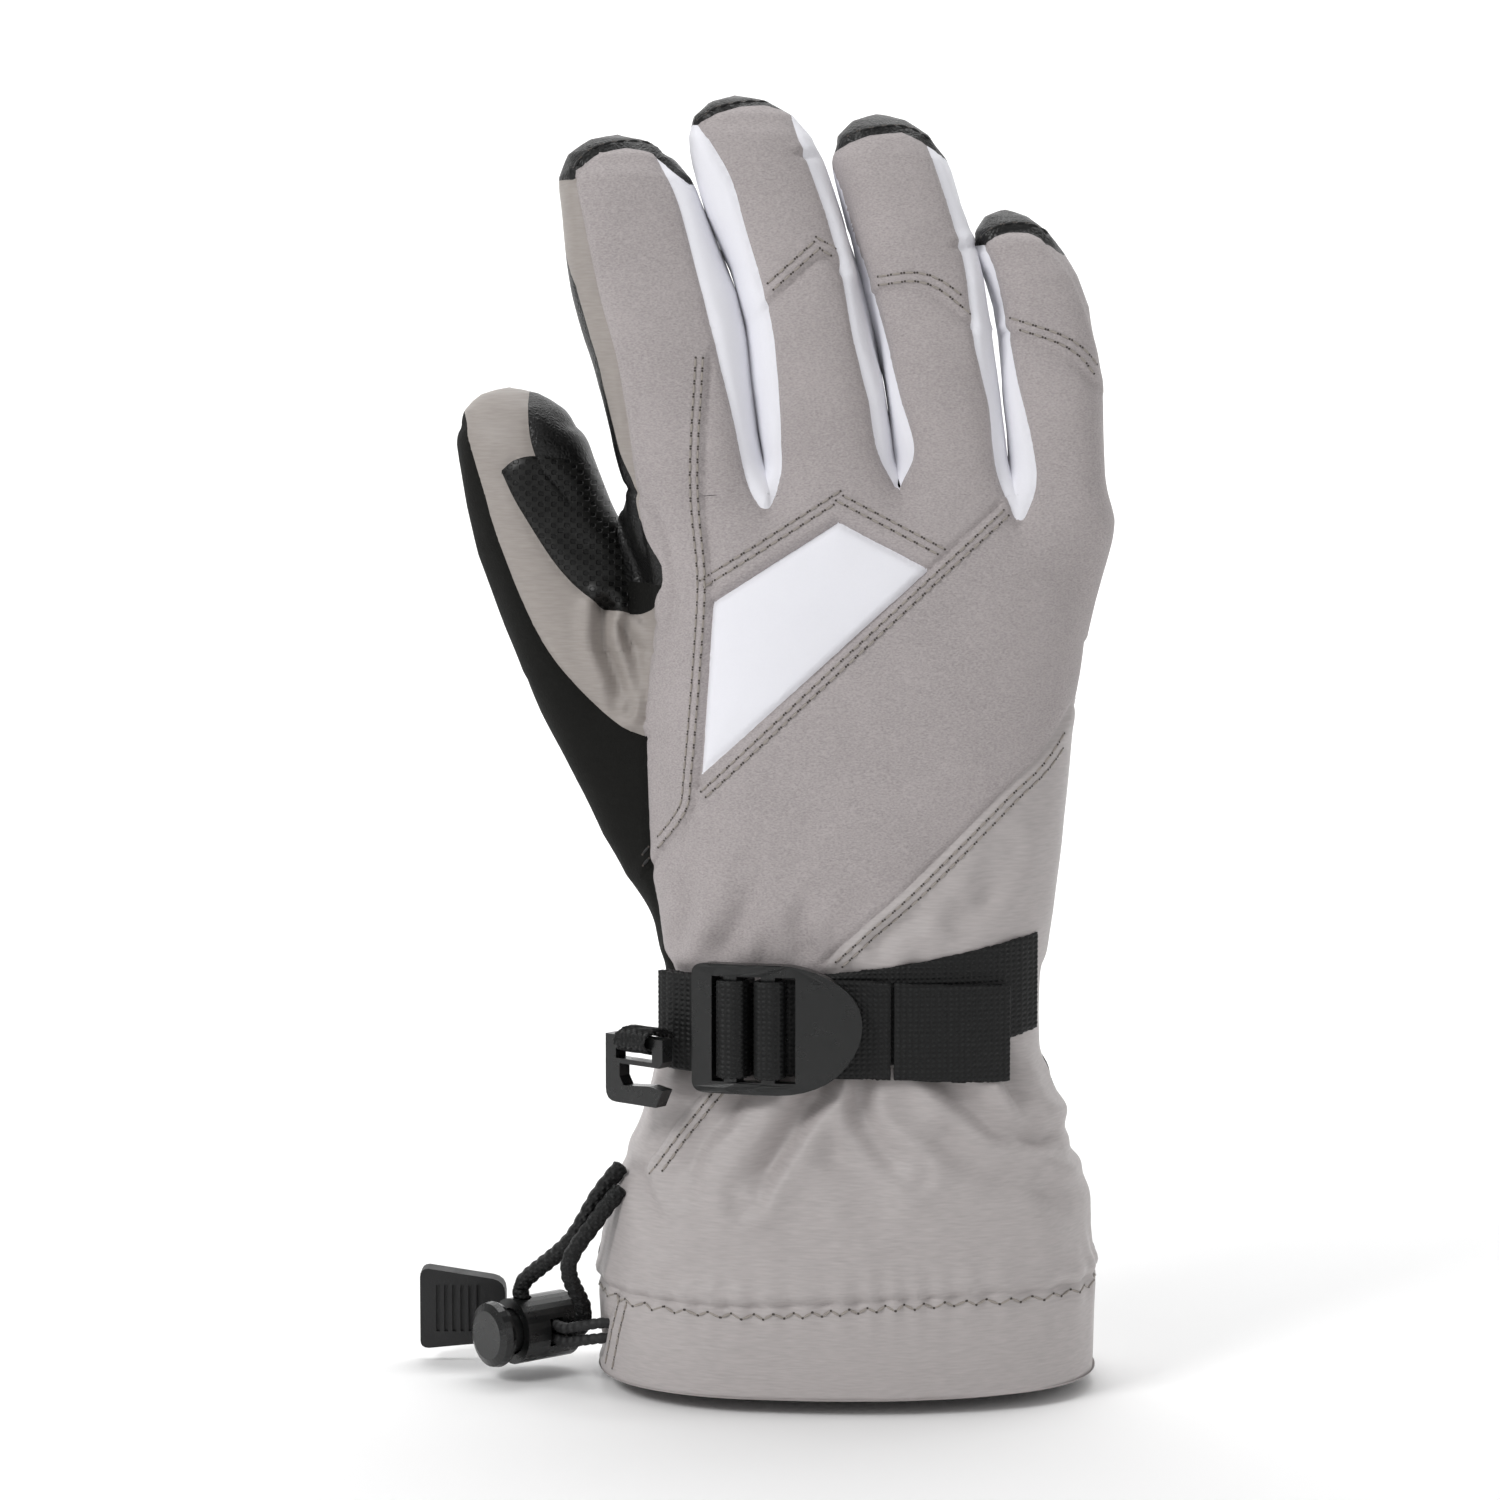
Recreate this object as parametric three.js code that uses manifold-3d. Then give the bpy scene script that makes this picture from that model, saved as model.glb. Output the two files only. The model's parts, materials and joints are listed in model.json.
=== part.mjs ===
// A right-hand insulated ski glove with a gauntlet cuff, standing on its hem with the fingers up.
// Millimetres. +Z runs from the hem to the fingertips, -Y faces the back of the hand, -X is the thumb side.
// Every fabric layer is a thin closed solid on a tube of rounded sections. Pieces that bend meet at a hinge.
import * as THREE from "three";
import { mergeVertices } from "three/addons/utils/BufferGeometryUtils.js";
import Module from "manifold-3d";

const wasm = await Module();
wasm.setup();

// ---- Driving dimensions ----
const GAP = 0.4; // clearance between neighbouring pieces
const SHELL = 1.5; // outer fabric with its foam backing
const LINER = 3; // insulation, membrane and lining together
const LINER_INSET = SHELL + GAP;
const CAVITY_INSET = LINER_INSET + LINER;

const HEM_TOP = 24; // height of the hem band
const HEM_WALL = 1.2;
const HEM_CHANNEL = 3.4; // room for the drawcord between the hem's two walls
const HEM_CORD_Z = 10;
const WRIST = 112; // height of the wrist's hinge
const CUFF_TOP = WRIST - 5.4;
const WRIST_SPREAD = 0.55; // how fast the hand's rim climbs towards the back and the palm
const CROTCH = 198; // where the fingers leave the hand
const THUMB_ROOT = 170.5; // where the thumb leaves the hand
const SADDLE_LOW = 121; // lower edge of the thumb's saddle
const FLEX_WEDGE = 1; // slope of the notch that lets a digit fold towards the palm
const FOLD_SHIFT = 2; // the notch starts this far to the palm side of a digit's middle

const WEB = 22; // webbing width
const WEB_THICK = 1.4;
const STRAP_Z = 82.6; // middle of the strap at the buckle
const STRAP_CLIMB = 0.19; // the strap climbs towards the little finger
const TAIL_CLIMB = -0.055; // its loose tail droops a little
const STRAP_OFF = 0.8; // the strap's first layer stands this far off the cuff
const BUCKLE_THICK = 3.2;
const BUCKLE_HALF = 14.5; // half of the buckle's height
const BUCKLE_LEFT = -14.8;
const BUCKLE_RIGHT = 17.4; // the tip of its round tab
const BUCKLE_SLOTS = [
  [-11, -8.7],
  [-6.3, -1.7],
  [0.9, 4.8],
]; // between them stand the bars for the anchor and for the strap
const TAIL_HINGE = 23.6; // past the buckle's tab the strap's tail can be lifted
const TAIL_END = 48.5;
const ANCHOR_END = -24.4;

const LOCK_RADIUS = 7.6;
const LOCK_CENTRE = [-56, 1, LOCK_RADIUS + 0.1];
const LOCK_TURN = THREE.MathUtils.degToRad(38);
const STEM_RADIUS = 5;
const BUTTON_TRAVEL = 3;
const SHOCK_CORD = 2.4; // elastic drawcord diameter
const BRAID = 3.6; // tether cord diameter
const TETHER_Z = 46; // where the tethers leave the cuff

// ---- Materials ----
const finish = (color, roughness, metalness = 0) =>
  new THREE.MeshStandardMaterial({ color, roughness, metalness });
const SOFTSHELL = finish(0xa29b9b, 0.9);
const NYLON = finish(0xa89f9e, 0.75);
const WHITE = finish(0xf1f1f6, 0.85);
const BLACK_PALM = finish(0x24241f, 0.85);
const LEATHER = finish(0x2b2c2c, 0.55);
const WEBBING = finish(0x1c1d1c, 0.9);
const PLASTIC = finish(0x232424, 0.4);
const RUBBER = finish(0x202121, 0.6);
const FLEECE = finish(0x4a4a4c, 1);
const STEEL = finish(0xb8babd, 0.3, 1);

// ---- Tubes ----
// Value k of the stations at height z, on a smooth curve through them.
function smoothAt(stations, z, k) {
  const last = stations.length - 1;
  if (z <= stations[0][0]) return stations[0][k];
  if (z >= stations[last][0]) return stations[last][k];
  let i = 0;
  while (z > stations[i + 1][0]) i++;
  const slope = (j) => {
    const a = stations[Math.max(0, j - 1)];
    const b = stations[Math.min(last, j + 1)];
    return (b[k] - a[k]) / (b[0] - a[0]);
  };
  const span = stations[i + 1][0] - stations[i][0];
  const t = (z - stations[i][0]) / span;
  const t2 = t * t;
  const t3 = t2 * t;
  return (
    (2 * t3 - 3 * t2 + 1) * stations[i][k] +
    (t3 - 2 * t2 + t) * span * slope(i) +
    (3 * t2 - 2 * t3) * stations[i + 1][k] +
    (t3 - t2) * span * slope(i + 1)
  );
}

// A tube of rounded-rectangle sections. Stations are [z, x, y, half width, half depth].
// The tip closes in a dome.
class Tube {
  constructor(stations, squareness, tip = Infinity, dome = 1) {
    Object.assign(this, { stations, power: 2 / squareness, tip, dome });
  }

  // The point at an angle, a height and a depth below the skin.
  // Angles are in radians: 0 is +X, and the back of the hand is negative.
  point(angle, z, inset = 0) {
    const [x, y, a, b] = [1, 2, 3, 4].map((k) => smoothAt(this.stations, z, k));
    const above = this.tip === Infinity ? 0 : (z - (this.tip - this.dome)) / (this.dome - inset);
    const close = above > 0 ? Math.sqrt(Math.max(0, 1 - above * above)) : 1;
    const side = (v) => Math.sign(v) * Math.abs(v) ** this.power;
    return new THREE.Vector3(
      x + (a - inset) * close * side(Math.cos(angle)),
      y + (b - inset) * close * side(Math.sin(angle)),
      z,
    );
  }
}

const BODY = new Tube(
  [
    [0, 15, 0, 56, 38],
    [HEM_TOP, 15, 0, 56.3, 38],
    [34, 15.8, 0, 54.8, 37],
    [45, 15.9, 0, 52, 35],
    [56, 16, 0, 48.5, 32],
    [66, 16, 0, 44.8, 28.4],
    [74, 16, 0, 43.9, 27.6],
    [98, 16.4, 0, 43.9, 27.6],
    [WRIST, 17.6, 0, 45, 27],
    [124, 18.4, 0, 46, 26.5],
    [140, 19, 0, 46.6, 26],
    [160, 19.2, 0, 47.8, 25],
    [178, 19.6, 0, 49.6, 22.5],
    [190, 20.2, 0, 51.4, 20],
    [CROTCH, 20.2, 0, 52.3, 18],
  ],
  2.5,
);

const DIGIT_SQUARENESS = 2.8;
const FINGERS = {
  index: new Tube(
    [
      [CROTCH, -18, 0, 14.4, 14],
      [223, -24, 0.5, 16.9, 14.5],
      [245, -28, 3, 18, 14.5],
      [262, -33, 6, 15.7, 14.2],
      [281.6, -37.5, 10, 15.4, 14],
    ],
    DIGIT_SQUARENESS,
    281.6,
    14,
  ),
  middle: new Tube(
    [
      [CROTCH, 11.8, 0, 14.4, 14.5],
      [223, 8.6, 0.5, 14.5, 14.5],
      [245, 4.8, 3, 13.7, 14.5],
      [262, -1.2, 6, 15.1, 14.2],
      [290.5, -10.5, 11, 15, 14],
    ],
    DIGIT_SQUARENESS,
    290.5,
    15,
  ),
  ring: new Tube(
    [
      [CROTCH, 39.8, 0, 12.6, 14],
      [223, 36.6, 0.5, 12.4, 14],
      [245, 33.2, 3, 13.5, 14],
      [262, 28.2, 6, 13.2, 13.6],
      [286, 21.8, 11, 13, 13.4],
    ],
    DIGIT_SQUARENESS,
    286,
    13.5,
  ),
  little: new Tube(
    [
      [CROTCH, 62.9, 0, 9.5, 12.5],
      [223, 61.2, 0.5, 11.1, 12.5],
      [245, 58.4, 3, 10.5, 12.5],
      [256, 53.4, 5, 10.2, 12],
      [264.5, 50.8, 8, 10, 12],
    ],
    DIGIT_SQUARENESS,
    264.5,
    13,
  ),
};
const THUMB = new Tube(
  [
    [100, -18, 4, 12, 10],
    [116, -23.7, 7, 14, 12],
    [134, -31, 11, 15.5, 14.5],
    [152, -39.5, 13, 16.4, 16],
    [THUMB_ROOT, -47, 14, 16.6, 16],
    [190, -53.3, 14.5, 17, 15.5],
    [206, -58.2, 15, 15.2, 15],
    [224, -63, 16, 15, 14.5],
  ],
  2.5,
  224,
  15,
);

// ---- Builders ----
// A rim is a height, or a function that gives the height at an angle.
const rimAt = (rim, angle) => (typeof rim === "number" ? rim : rim(angle));

const geometryOf = (points, faces) => {
  const geometry = new THREE.BufferGeometry();
  const positions = points.flatMap((p) => p.toArray());
  geometry.setAttribute("position", new THREE.Float32BufferAttribute(positions, 3));
  geometry.setIndex(faces);
  return geometry;
};

// A closed sheet of the tube's wall between two angles in degrees and two rims. A full turn makes a ring.
function wall(tube, { from = -180, to = 180, bottom, top, inset = 0, thick = SHELL, across, along }) {
  const ring = to - from >= 360;
  const columns = ring ? across : across + 1;
  const points = [];
  for (const depth of [inset, inset + thick])
    for (let i = 0; i < columns; i++) {
      const angle = THREE.MathUtils.degToRad(from + ((to - from) * i) / across);
      const low = rimAt(bottom, angle);
      const high = Math.max(low + 1, rimAt(top, angle));
      for (let j = 0; j <= along; j++) {
        points.push(tube.point(angle, low + ((high - low) * j) / along, depth));
      }
    }
  const outer = (i, j) => (i % columns) * (along + 1) + j;
  const inner = (i, j) => columns * (along + 1) + outer(i, j);
  const faces = [];
  const quad = (a, b, c, d) => faces.push(a, b, c, a, c, d);
  for (let i = 0; i < across; i++) {
    for (let j = 0; j < along; j++) {
      quad(outer(i, j), outer(i + 1, j), outer(i + 1, j + 1), outer(i, j + 1));
      quad(inner(i, j), inner(i, j + 1), inner(i + 1, j + 1), inner(i + 1, j));
    }
    quad(outer(i, 0), inner(i, 0), inner(i + 1, 0), outer(i + 1, 0));
    quad(outer(i, along), outer(i + 1, along), inner(i + 1, along), inner(i, along));
  }
  if (!ring)
    for (let j = 0; j < along; j++) {
      quad(outer(0, j), outer(0, j + 1), inner(0, j + 1), inner(0, j));
      quad(outer(across, j), inner(across, j), inner(across, j + 1), outer(across, j + 1));
    }
  return geometryOf(points, faces);
}

// A closed thimble over the end of a digit, with straight rings up to the dome and more rings over it.
function thimble(tube, { bottom, inset = 0, thick = SHELL, around, along, straight = 0 }) {
  const points = [];
  const faces = [];
  const quad = (a, b, c, d) => faces.push(a, b, c, a, c, d);
  const rings = straight + along;
  const base = tube.tip - tube.dome;
  const layerSize = around * rings + 1;
  [inset, inset + thick].forEach((depth, layer) => {
    const height = tube.dome - depth;
    for (let i = 0; i < around; i++) {
      const angle = (2 * Math.PI * i) / around;
      const low = rimAt(bottom, angle);
      const start = Math.asin(THREE.MathUtils.clamp((low - base) / height, 0, 0.95));
      for (let j = 0; j < rings; j++) {
        const climb = start + ((Math.PI / 2 - start) * (j - straight)) / along;
        const domed = j > 0 ? base + height * Math.sin(climb) : low;
        points.push(tube.point(angle, j < straight ? low + ((base - low) * j) / straight : domed, depth));
      }
    }
    points.push(tube.point(0, base + height, depth));
    const first = layer * layerSize;
    const at = (i, j) => (j === rings ? first + around * rings : first + (i % around) * rings + j);
    for (let i = 0; i < around; i++)
      for (let j = 0; j < rings; j++) {
        const [a, b, c, d] = [at(i, j), at(i + 1, j), at(i + 1, j + 1), at(i, j + 1)];
        const last = j === rings - 1;
        if (layer === 0 && last) faces.push(a, b, c);
        else if (layer === 0) quad(a, b, c, d);
        else if (last) faces.push(a, c, b);
        else quad(a, d, c, b);
      }
  });
  for (let i = 0; i < around; i++) {
    const [low, next] = [i * rings, ((i + 1) % around) * rings];
    quad(low, layerSize + low, layerSize + next, next);
  }
  return geometryOf(points, faces);
}

// The tube filled solid between two heights.
function plug(tube, inset, low, high, around = 32, along = 12) {
  const points = [];
  for (let j = 0; j <= along; j++)
    for (let i = 0; i < around; i++)
      points.push(tube.point((2 * Math.PI * i) / around, low + ((high - low) * j) / along, inset));
  const centre = (z) => tube.point(0, z).add(tube.point(Math.PI, z)).multiplyScalar(0.5);
  points.push(centre(low), centre(high));
  const faces = [];
  for (let i = 0; i < around; i++) {
    const next = (i + 1) % around;
    for (let j = 0; j < along; j++) {
      const [a, b] = [j * around + i, j * around + next];
      faces.push(a, b, b + around, a, b + around, a + around);
    }
    faces.push(points.length - 2, next, i, points.length - 1, along * around + i, along * around + next);
  }
  return geometryOf(points, faces);
}

function solidOf(geometry) {
  const bare = geometry.index ? geometry.toNonIndexed() : geometry.clone();
  bare.deleteAttribute("normal");
  bare.deleteAttribute("uv");
  const merged = mergeVertices(bare, 1e-3);
  const vertProperties = merged.attributes.position.array;
  const triVerts = new Uint32Array(merged.index.array);
  return new wasm.Manifold(new wasm.Mesh({ numProp: 3, vertProperties, triVerts }));
}

function geometryFrom(solid) {
  const { vertProperties, triVerts, numProp, numVert } = solid.getMesh();
  const geometry = new THREE.BufferGeometry();
  const positions = new Float32Array(numVert * 3);
  for (let i = 0; i < numVert; i++) {
    positions.set(vertProperties.subarray(i * numProp, i * numProp + 3), i * 3);
  }
  geometry.setAttribute("position", new THREE.BufferAttribute(positions, 3));
  geometry.setIndex(new THREE.BufferAttribute(triVerts, 1));
  return geometry;
}

const largest = (solid) => solid.decompose().sort((a, b) => b.volume() - a.volume())[0];
const cut = (geometry, ...tools) =>
  geometryFrom(largest(tools.reduce((solid, tool) => solid.subtract(solidOf(tool)), solidOf(geometry))));

const box = (sx, sy, sz, x = 0, y = 0, z = 0) => new THREE.BoxGeometry(sx, sy, sz).translate(x, y, z);
const extrude = (shape, depth, curveSegments = 4) =>
  new THREE.ExtrudeGeometry(shape, { depth, curveSegments, bevelEnabled: false });

// A flat plate cut from a shape drawn in X and Z, from y = 0 out towards -Y.
const plate = (shape, thick, curveSegments) =>
  extrude(shape, thick, curveSegments).rotateX(Math.PI / 2);

// A strip of webbing that follows a path of [x, y] points, standing on edge along Z.
function ribbon(path, width = WEB, thick = WEB_THICK) {
  const sides = [1, -1].map((hand) =>
    path.map(([x, y], i) => {
      const [before, after] = [path[Math.max(0, i - 1)], path[Math.min(path.length - 1, i + 1)]];
      const along = new THREE.Vector2(after[0] - before[0], after[1] - before[1]).normalize();
      return new THREE.Vector2(x - (along.y * hand * thick) / 2, y + (along.x * hand * thick) / 2);
    }),
  );
  return extrude(new THREE.Shape([...sides[1], ...sides[0].reverse()]), width).translate(0, 0, -width / 2);
}

// A round cord along a smooth curve through the points.
function cord(points, diameter, steps, sides = 8, closed = false) {
  const extrudePath = new THREE.CatmullRomCurve3(points.map((p) => new THREE.Vector3(...p)), closed);
  const section = Array.from({ length: sides }, (_, i) => {
    const angle = (2 * Math.PI * i) / sides;
    return new THREE.Vector2(Math.cos(angle), Math.sin(angle)).multiplyScalar(diameter / 2);
  });
  return new THREE.ExtrudeGeometry(new THREE.Shape(section), { steps, extrudePath, bevelEnabled: false });
}

// ---- The object ----
const glove = new THREE.Group();
function add(name, geometry, material) {
  const mesh = new THREE.Mesh(geometry, material);
  mesh.name = name;
  glove.add(mesh);
}

// A seam across the hand, drawn through [x, z] points that rise in x.
// Where it crosses an angle is read from the skin at one height.
const seam = (height, points) => (angle) => {
  const { x } = BODY.point(angle, height);
  const after = points.findIndex((p) => x < p[0]);
  const i = after < 0 ? points.length - 1 : Math.max(1, after);
  const [[x0, z0], [x1, z1]] = [points[i - 1], points[i]];
  return z0 + ((x - x0) / (x1 - x0)) * (z1 - z0);
};
const diagonal = seam(165, [[-28, 124], [-16, 139.5], [35, 185], [50, 197]]);
const chevronPeak = seam(185, [[-16, 179], [14, 196.5], [35, 185.5], [50, 170]]);
const chevron = (angle) => Math.max(chevronPeak(angle), diagonal(angle) + 2);
const lowerDiagonal = seam(130, [[12, 98], [23.8, 110.6], [50.6, 135], [66, 155]]);
const wristRim = (angle) => WRIST + 1 + WRIST_SPREAD * Math.abs(BODY.point(angle, WRIST).y);
const handTop = CROTCH - GAP;
const lowered = (rim) => (angle) => rimAt(rim, angle) - GAP;
const raised = (rim) => (angle) => rimAt(rim, angle) + GAP;
const higherOf = (a, b) => (angle) => Math.max(rimAt(a, angle), rimAt(b, angle));
const lowerOf = (a, b) => (angle) => Math.min(rimAt(a, angle), rimAt(b, angle));

function buildHand() {
  const thumbRoot = plug(THUMB, -GAP, 100, THUMB_ROOT + 35);
  const palmSide = { bottom: wristRim, top: handTop, along: 6 };
  const sideWall = wall(BODY, { from: -179, to: -131, across: 5, ...palmSide });
  add("index_side_panel", cut(sideWall, thumbRoot), SOFTSHELL);
  add("palm_panel", cut(wall(BODY, { from: -1, to: 180, across: 18, ...palmSide }), thumbRoot), BLACK_PALM);

  const panel = (name, from, to, across, along, bottom, top, material) =>
    add(name, wall(BODY, { from, to, across, along, bottom, top }), material);
  panel("chevron_panel", -129, -66, 14, 3, raised(diagonal), lowered(chevron), WHITE);
  panel("knuckle_panel", -129, -66, 14, 2, chevron, handTop, SOFTSHELL);
  panel("wrist_side_panel", -57, -3, 12, 3, wristRim, lowered(lowerDiagonal), NYLON);
  const backhand = {
    bottom: higherOf(wristRim, raised(lowerDiagonal)),
    top: lowerOf(handTop, lowered(diagonal)),
  };
  add("backhand_panel", wall(BODY, { from: -129, to: -3, across: 28, along: 3, ...backhand }), SOFTSHELL);

  const saddle = wall(THUMB, { bottom: SADDLE_LOW, top: THUMB_ROOT - GAP, across: 24, along: 5 });
  add("thumb_saddle_panel", cut(saddle, plug(BODY, -GAP, 90, CROTCH + 2, 48)), BLACK_PALM);

  const lining = { inset: LINER_INSET, thick: LINER };
  const hand = solidOf(wall(BODY, { ...lining, bottom: wristRim, top: handTop, across: 32, along: 7 }));
  const rootSize = { bottom: SADDLE_LOW, top: THUMB_ROOT - GAP, across: 20, along: 4 };
  const root = solidOf(wall(THUMB, { ...lining, ...rootSize }));
  const rooms = [
    plug(THUMB, CAVITY_INSET, 110, THUMB_ROOT + 6, 20, 8),
    plug(BODY, CAVITY_INSET, 90, 210, 28, 8),
  ];
  const joinedLiner = hand.subtract(solidOf(rooms[0])).add(root.subtract(solidOf(rooms[1])));
  add("hand_liner", geometryFrom(largest(joinedLiner)), FLEECE);
}

// The lower rim of a digit: level at the back and notched on the palm side so that the digit can fold.
const foldRim = (tube, root) => (angle) => {
  const behind = tube.point(angle, root).y - smoothAt(tube.stations, root, 2) - FOLD_SHIFT;
  return root + GAP + Math.max(0, behind) * FLEX_WEDGE;
};
const capRim = (tube) => (angle) => {
  const behind = tube.point(angle, tube.tip - 12).y - smoothAt(tube.stations, tube.tip - 12, 2);
  return tube.tip - 10.5 - 0.25 * behind;
};

function buildFinger(name, tube) {
  const rims = { bottom: foldRim(tube, CROTCH), top: lowered(capRim(tube)) };
  const panel = (part, from, to, across, material) =>
    add(`${name}_${part}`, wall(tube, { ...rims, from, to, across, along: 8 }), material);
  panel("back", -140, -40, 5, SOFTSHELL);
  panel("outer_sidewall", -38, 38, 4, name === "little" ? SOFTSHELL : WHITE);
  panel("palm", 40, 140, 5, LEATHER);
  panel("thumb_sidewall", 142, 218, 4, name === "index" ? NYLON : WHITE);
  add(`${name}_tip_cap`, thimble(tube, { bottom: capRim(tube), around: 16, along: 3 }), LEATHER);
  addLiner(name, tube, CROTCH);
}

function addLiner(name, tube, root) {
  const lining = { inset: LINER_INSET + 0.4, thick: LINER, around: 14, along: 3, straight: 8 };
  add(`${name}_liner`, thimble(tube, { ...lining, bottom: foldRim(tube, root) }), FLEECE);
}

function buildThumb() {
  const capLine = THUMB.tip - 14;
  const rims = { bottom: foldRim(THUMB, THUMB_ROOT), top: capLine - GAP };
  const panel = (part, from, to, across, material) =>
    add(`thumb_${part}`, wall(THUMB, { ...rims, from, to, across, along: 8 }), material);
  panel("back", -200, -112, 6, BLACK_PALM);
  panel("side", -110, -62, 3, NYLON);
  panel("wipe_patch", -60, 28, 5, BLACK_PALM);
  panel("palm", 30, 158, 7, LEATHER);
  add("thumb_tip_cap", thimble(THUMB, { bottom: capLine, around: 16, along: 4 }), LEATHER);
  addLiner("thumb", THUMB, THUMB_ROOT);
}

function buildCuff() {
  const cuff = { bottom: HEM_TOP + GAP, top: CUFF_TOP, along: 9 };
  add("cuff_back_panel", wall(BODY, { ...cuff, from: -179.4, to: -0.6, across: 20 }), NYLON);
  add("cuff_palm_panel", wall(BODY, { ...cuff, from: 0, to: 180, across: 20 }), BLACK_PALM);
  add("cuff_liner", wall(BODY, { ...cuff, inset: LINER_INSET, thick: LINER, across: 28 }), FLEECE);
  // The gusset bends with the wrist and runs out over the root of the thumb.
  const gusset = { bottom: CUFF_TOP + GAP, thick: 2.2 };
  const band = solidOf(wall(BODY, { ...gusset, top: lowered(wristRim), across: 36, along: 3 }));
  const flare = solidOf(wall(THUMB, { ...gusset, top: SADDLE_LOW - GAP, across: 24, along: 3 }));
  const wristRoom = solidOf(plug(BODY, gusset.thick, 100, 130, 36, 6));
  const opened = band.subtract(solidOf(plug(THUMB, SHELL, CUFF_TOP + 3, 130, 24, 6)));
  const rim = { bottom: lowered(wristRim), top: 140, inset: -6, thick: 14, across: 36, along: 2 };
  const wristband = opened.add(flare.subtract(wristRoom)).subtract(solidOf(wall(BODY, rim)));
  add("wrist_gusset", geometryFrom(largest(wristband)), SOFTSHELL);
  const elastic = { from: 25, to: 155, bottom: 84, top: 104, inset: -1.2 - GAP, thick: 1.2 };
  add("palm_wrist_elastic", wall(BODY, { ...elastic, across: 14, along: 3 }), WEBBING);

  const depth = 2 * HEM_WALL + HEM_CHANNEL;
  const hemSkin = { bottom: 0, across: 36, along: 1 };
  const outside = wall(BODY, { ...hemSkin, top: HEM_TOP, thick: HEM_WALL });
  const inside = wall(BODY, { ...hemSkin, top: HEM_TOP, inset: depth - HEM_WALL, thick: HEM_WALL });
  const floor = wall(BODY, { ...hemSkin, top: HEM_WALL, thick: depth });
  const hem = solidOf(outside).add(solidOf(inside)).add(solidOf(floor));
  add("hem_band", geometryFrom(hem.subtract(solidOf(cord(EYELET_LINE, 7.4, 2, 12)))), NYLON);
  const loop = Array.from({ length: 30 }, (_, i) =>
    BODY.point(THREE.MathUtils.degToRad(-148 + i * 10.8), HEM_CORD_Z, HEM_WALL + HEM_CHANNEL / 2).toArray(),
  );
  add("hem_drawcord", cord(loop, SHOCK_CORD, 48), RUBBER);
}

// ---- Wrist strap ----
// The strap's hardware is laid out flat, with y as the distance off the cuff.
// It is then draped round the cuff's back.
const DRAPE_Z = 86;
function draped(x, y) {
  const [centre, halfWidth] = [1, 3].map((k) => smoothAt(BODY.stations, DRAPE_Z, k));
  const across = THREE.MathUtils.clamp((x - centre) / halfWidth, -1, 1);
  const angle = -Math.acos(Math.sign(across) * Math.abs(across) ** (1 / BODY.power));
  const skin = BODY.point(angle, DRAPE_Z, y);
  return [skin.x, skin.y];
}
const climbed = (x, z, climb = STRAP_CLIMB) => z + STRAP_Z + climb * Math.max(0, x - 12);
function place(geometry, shape) {
  const p = geometry.attributes.position;
  for (let i = 0; i < p.count; i++) p.setXYZ(i, ...shape(p.getX(i), p.getY(i), p.getZ(i)));
  return geometry;
}
const drapePlate = (geometry) => place(geometry, (x, y, z) => [...draped(x, y), climbed(x, z)]);
const drapeRibbon = (path, climb) =>
  place(ribbon(path.map(([x, y]) => draped(x, y))), (x, y, z) => [x, y, climbed(x, z, climb)]);
const LAYER = WEB_THICK + GAP;
const firstLayer = -STRAP_OFF - WEB_THICK / 2;
const steps = (from, to, count) =>
  Array.from({ length: count + 1 }, (_, i) => from + ((to - from) * i) / count);

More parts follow.
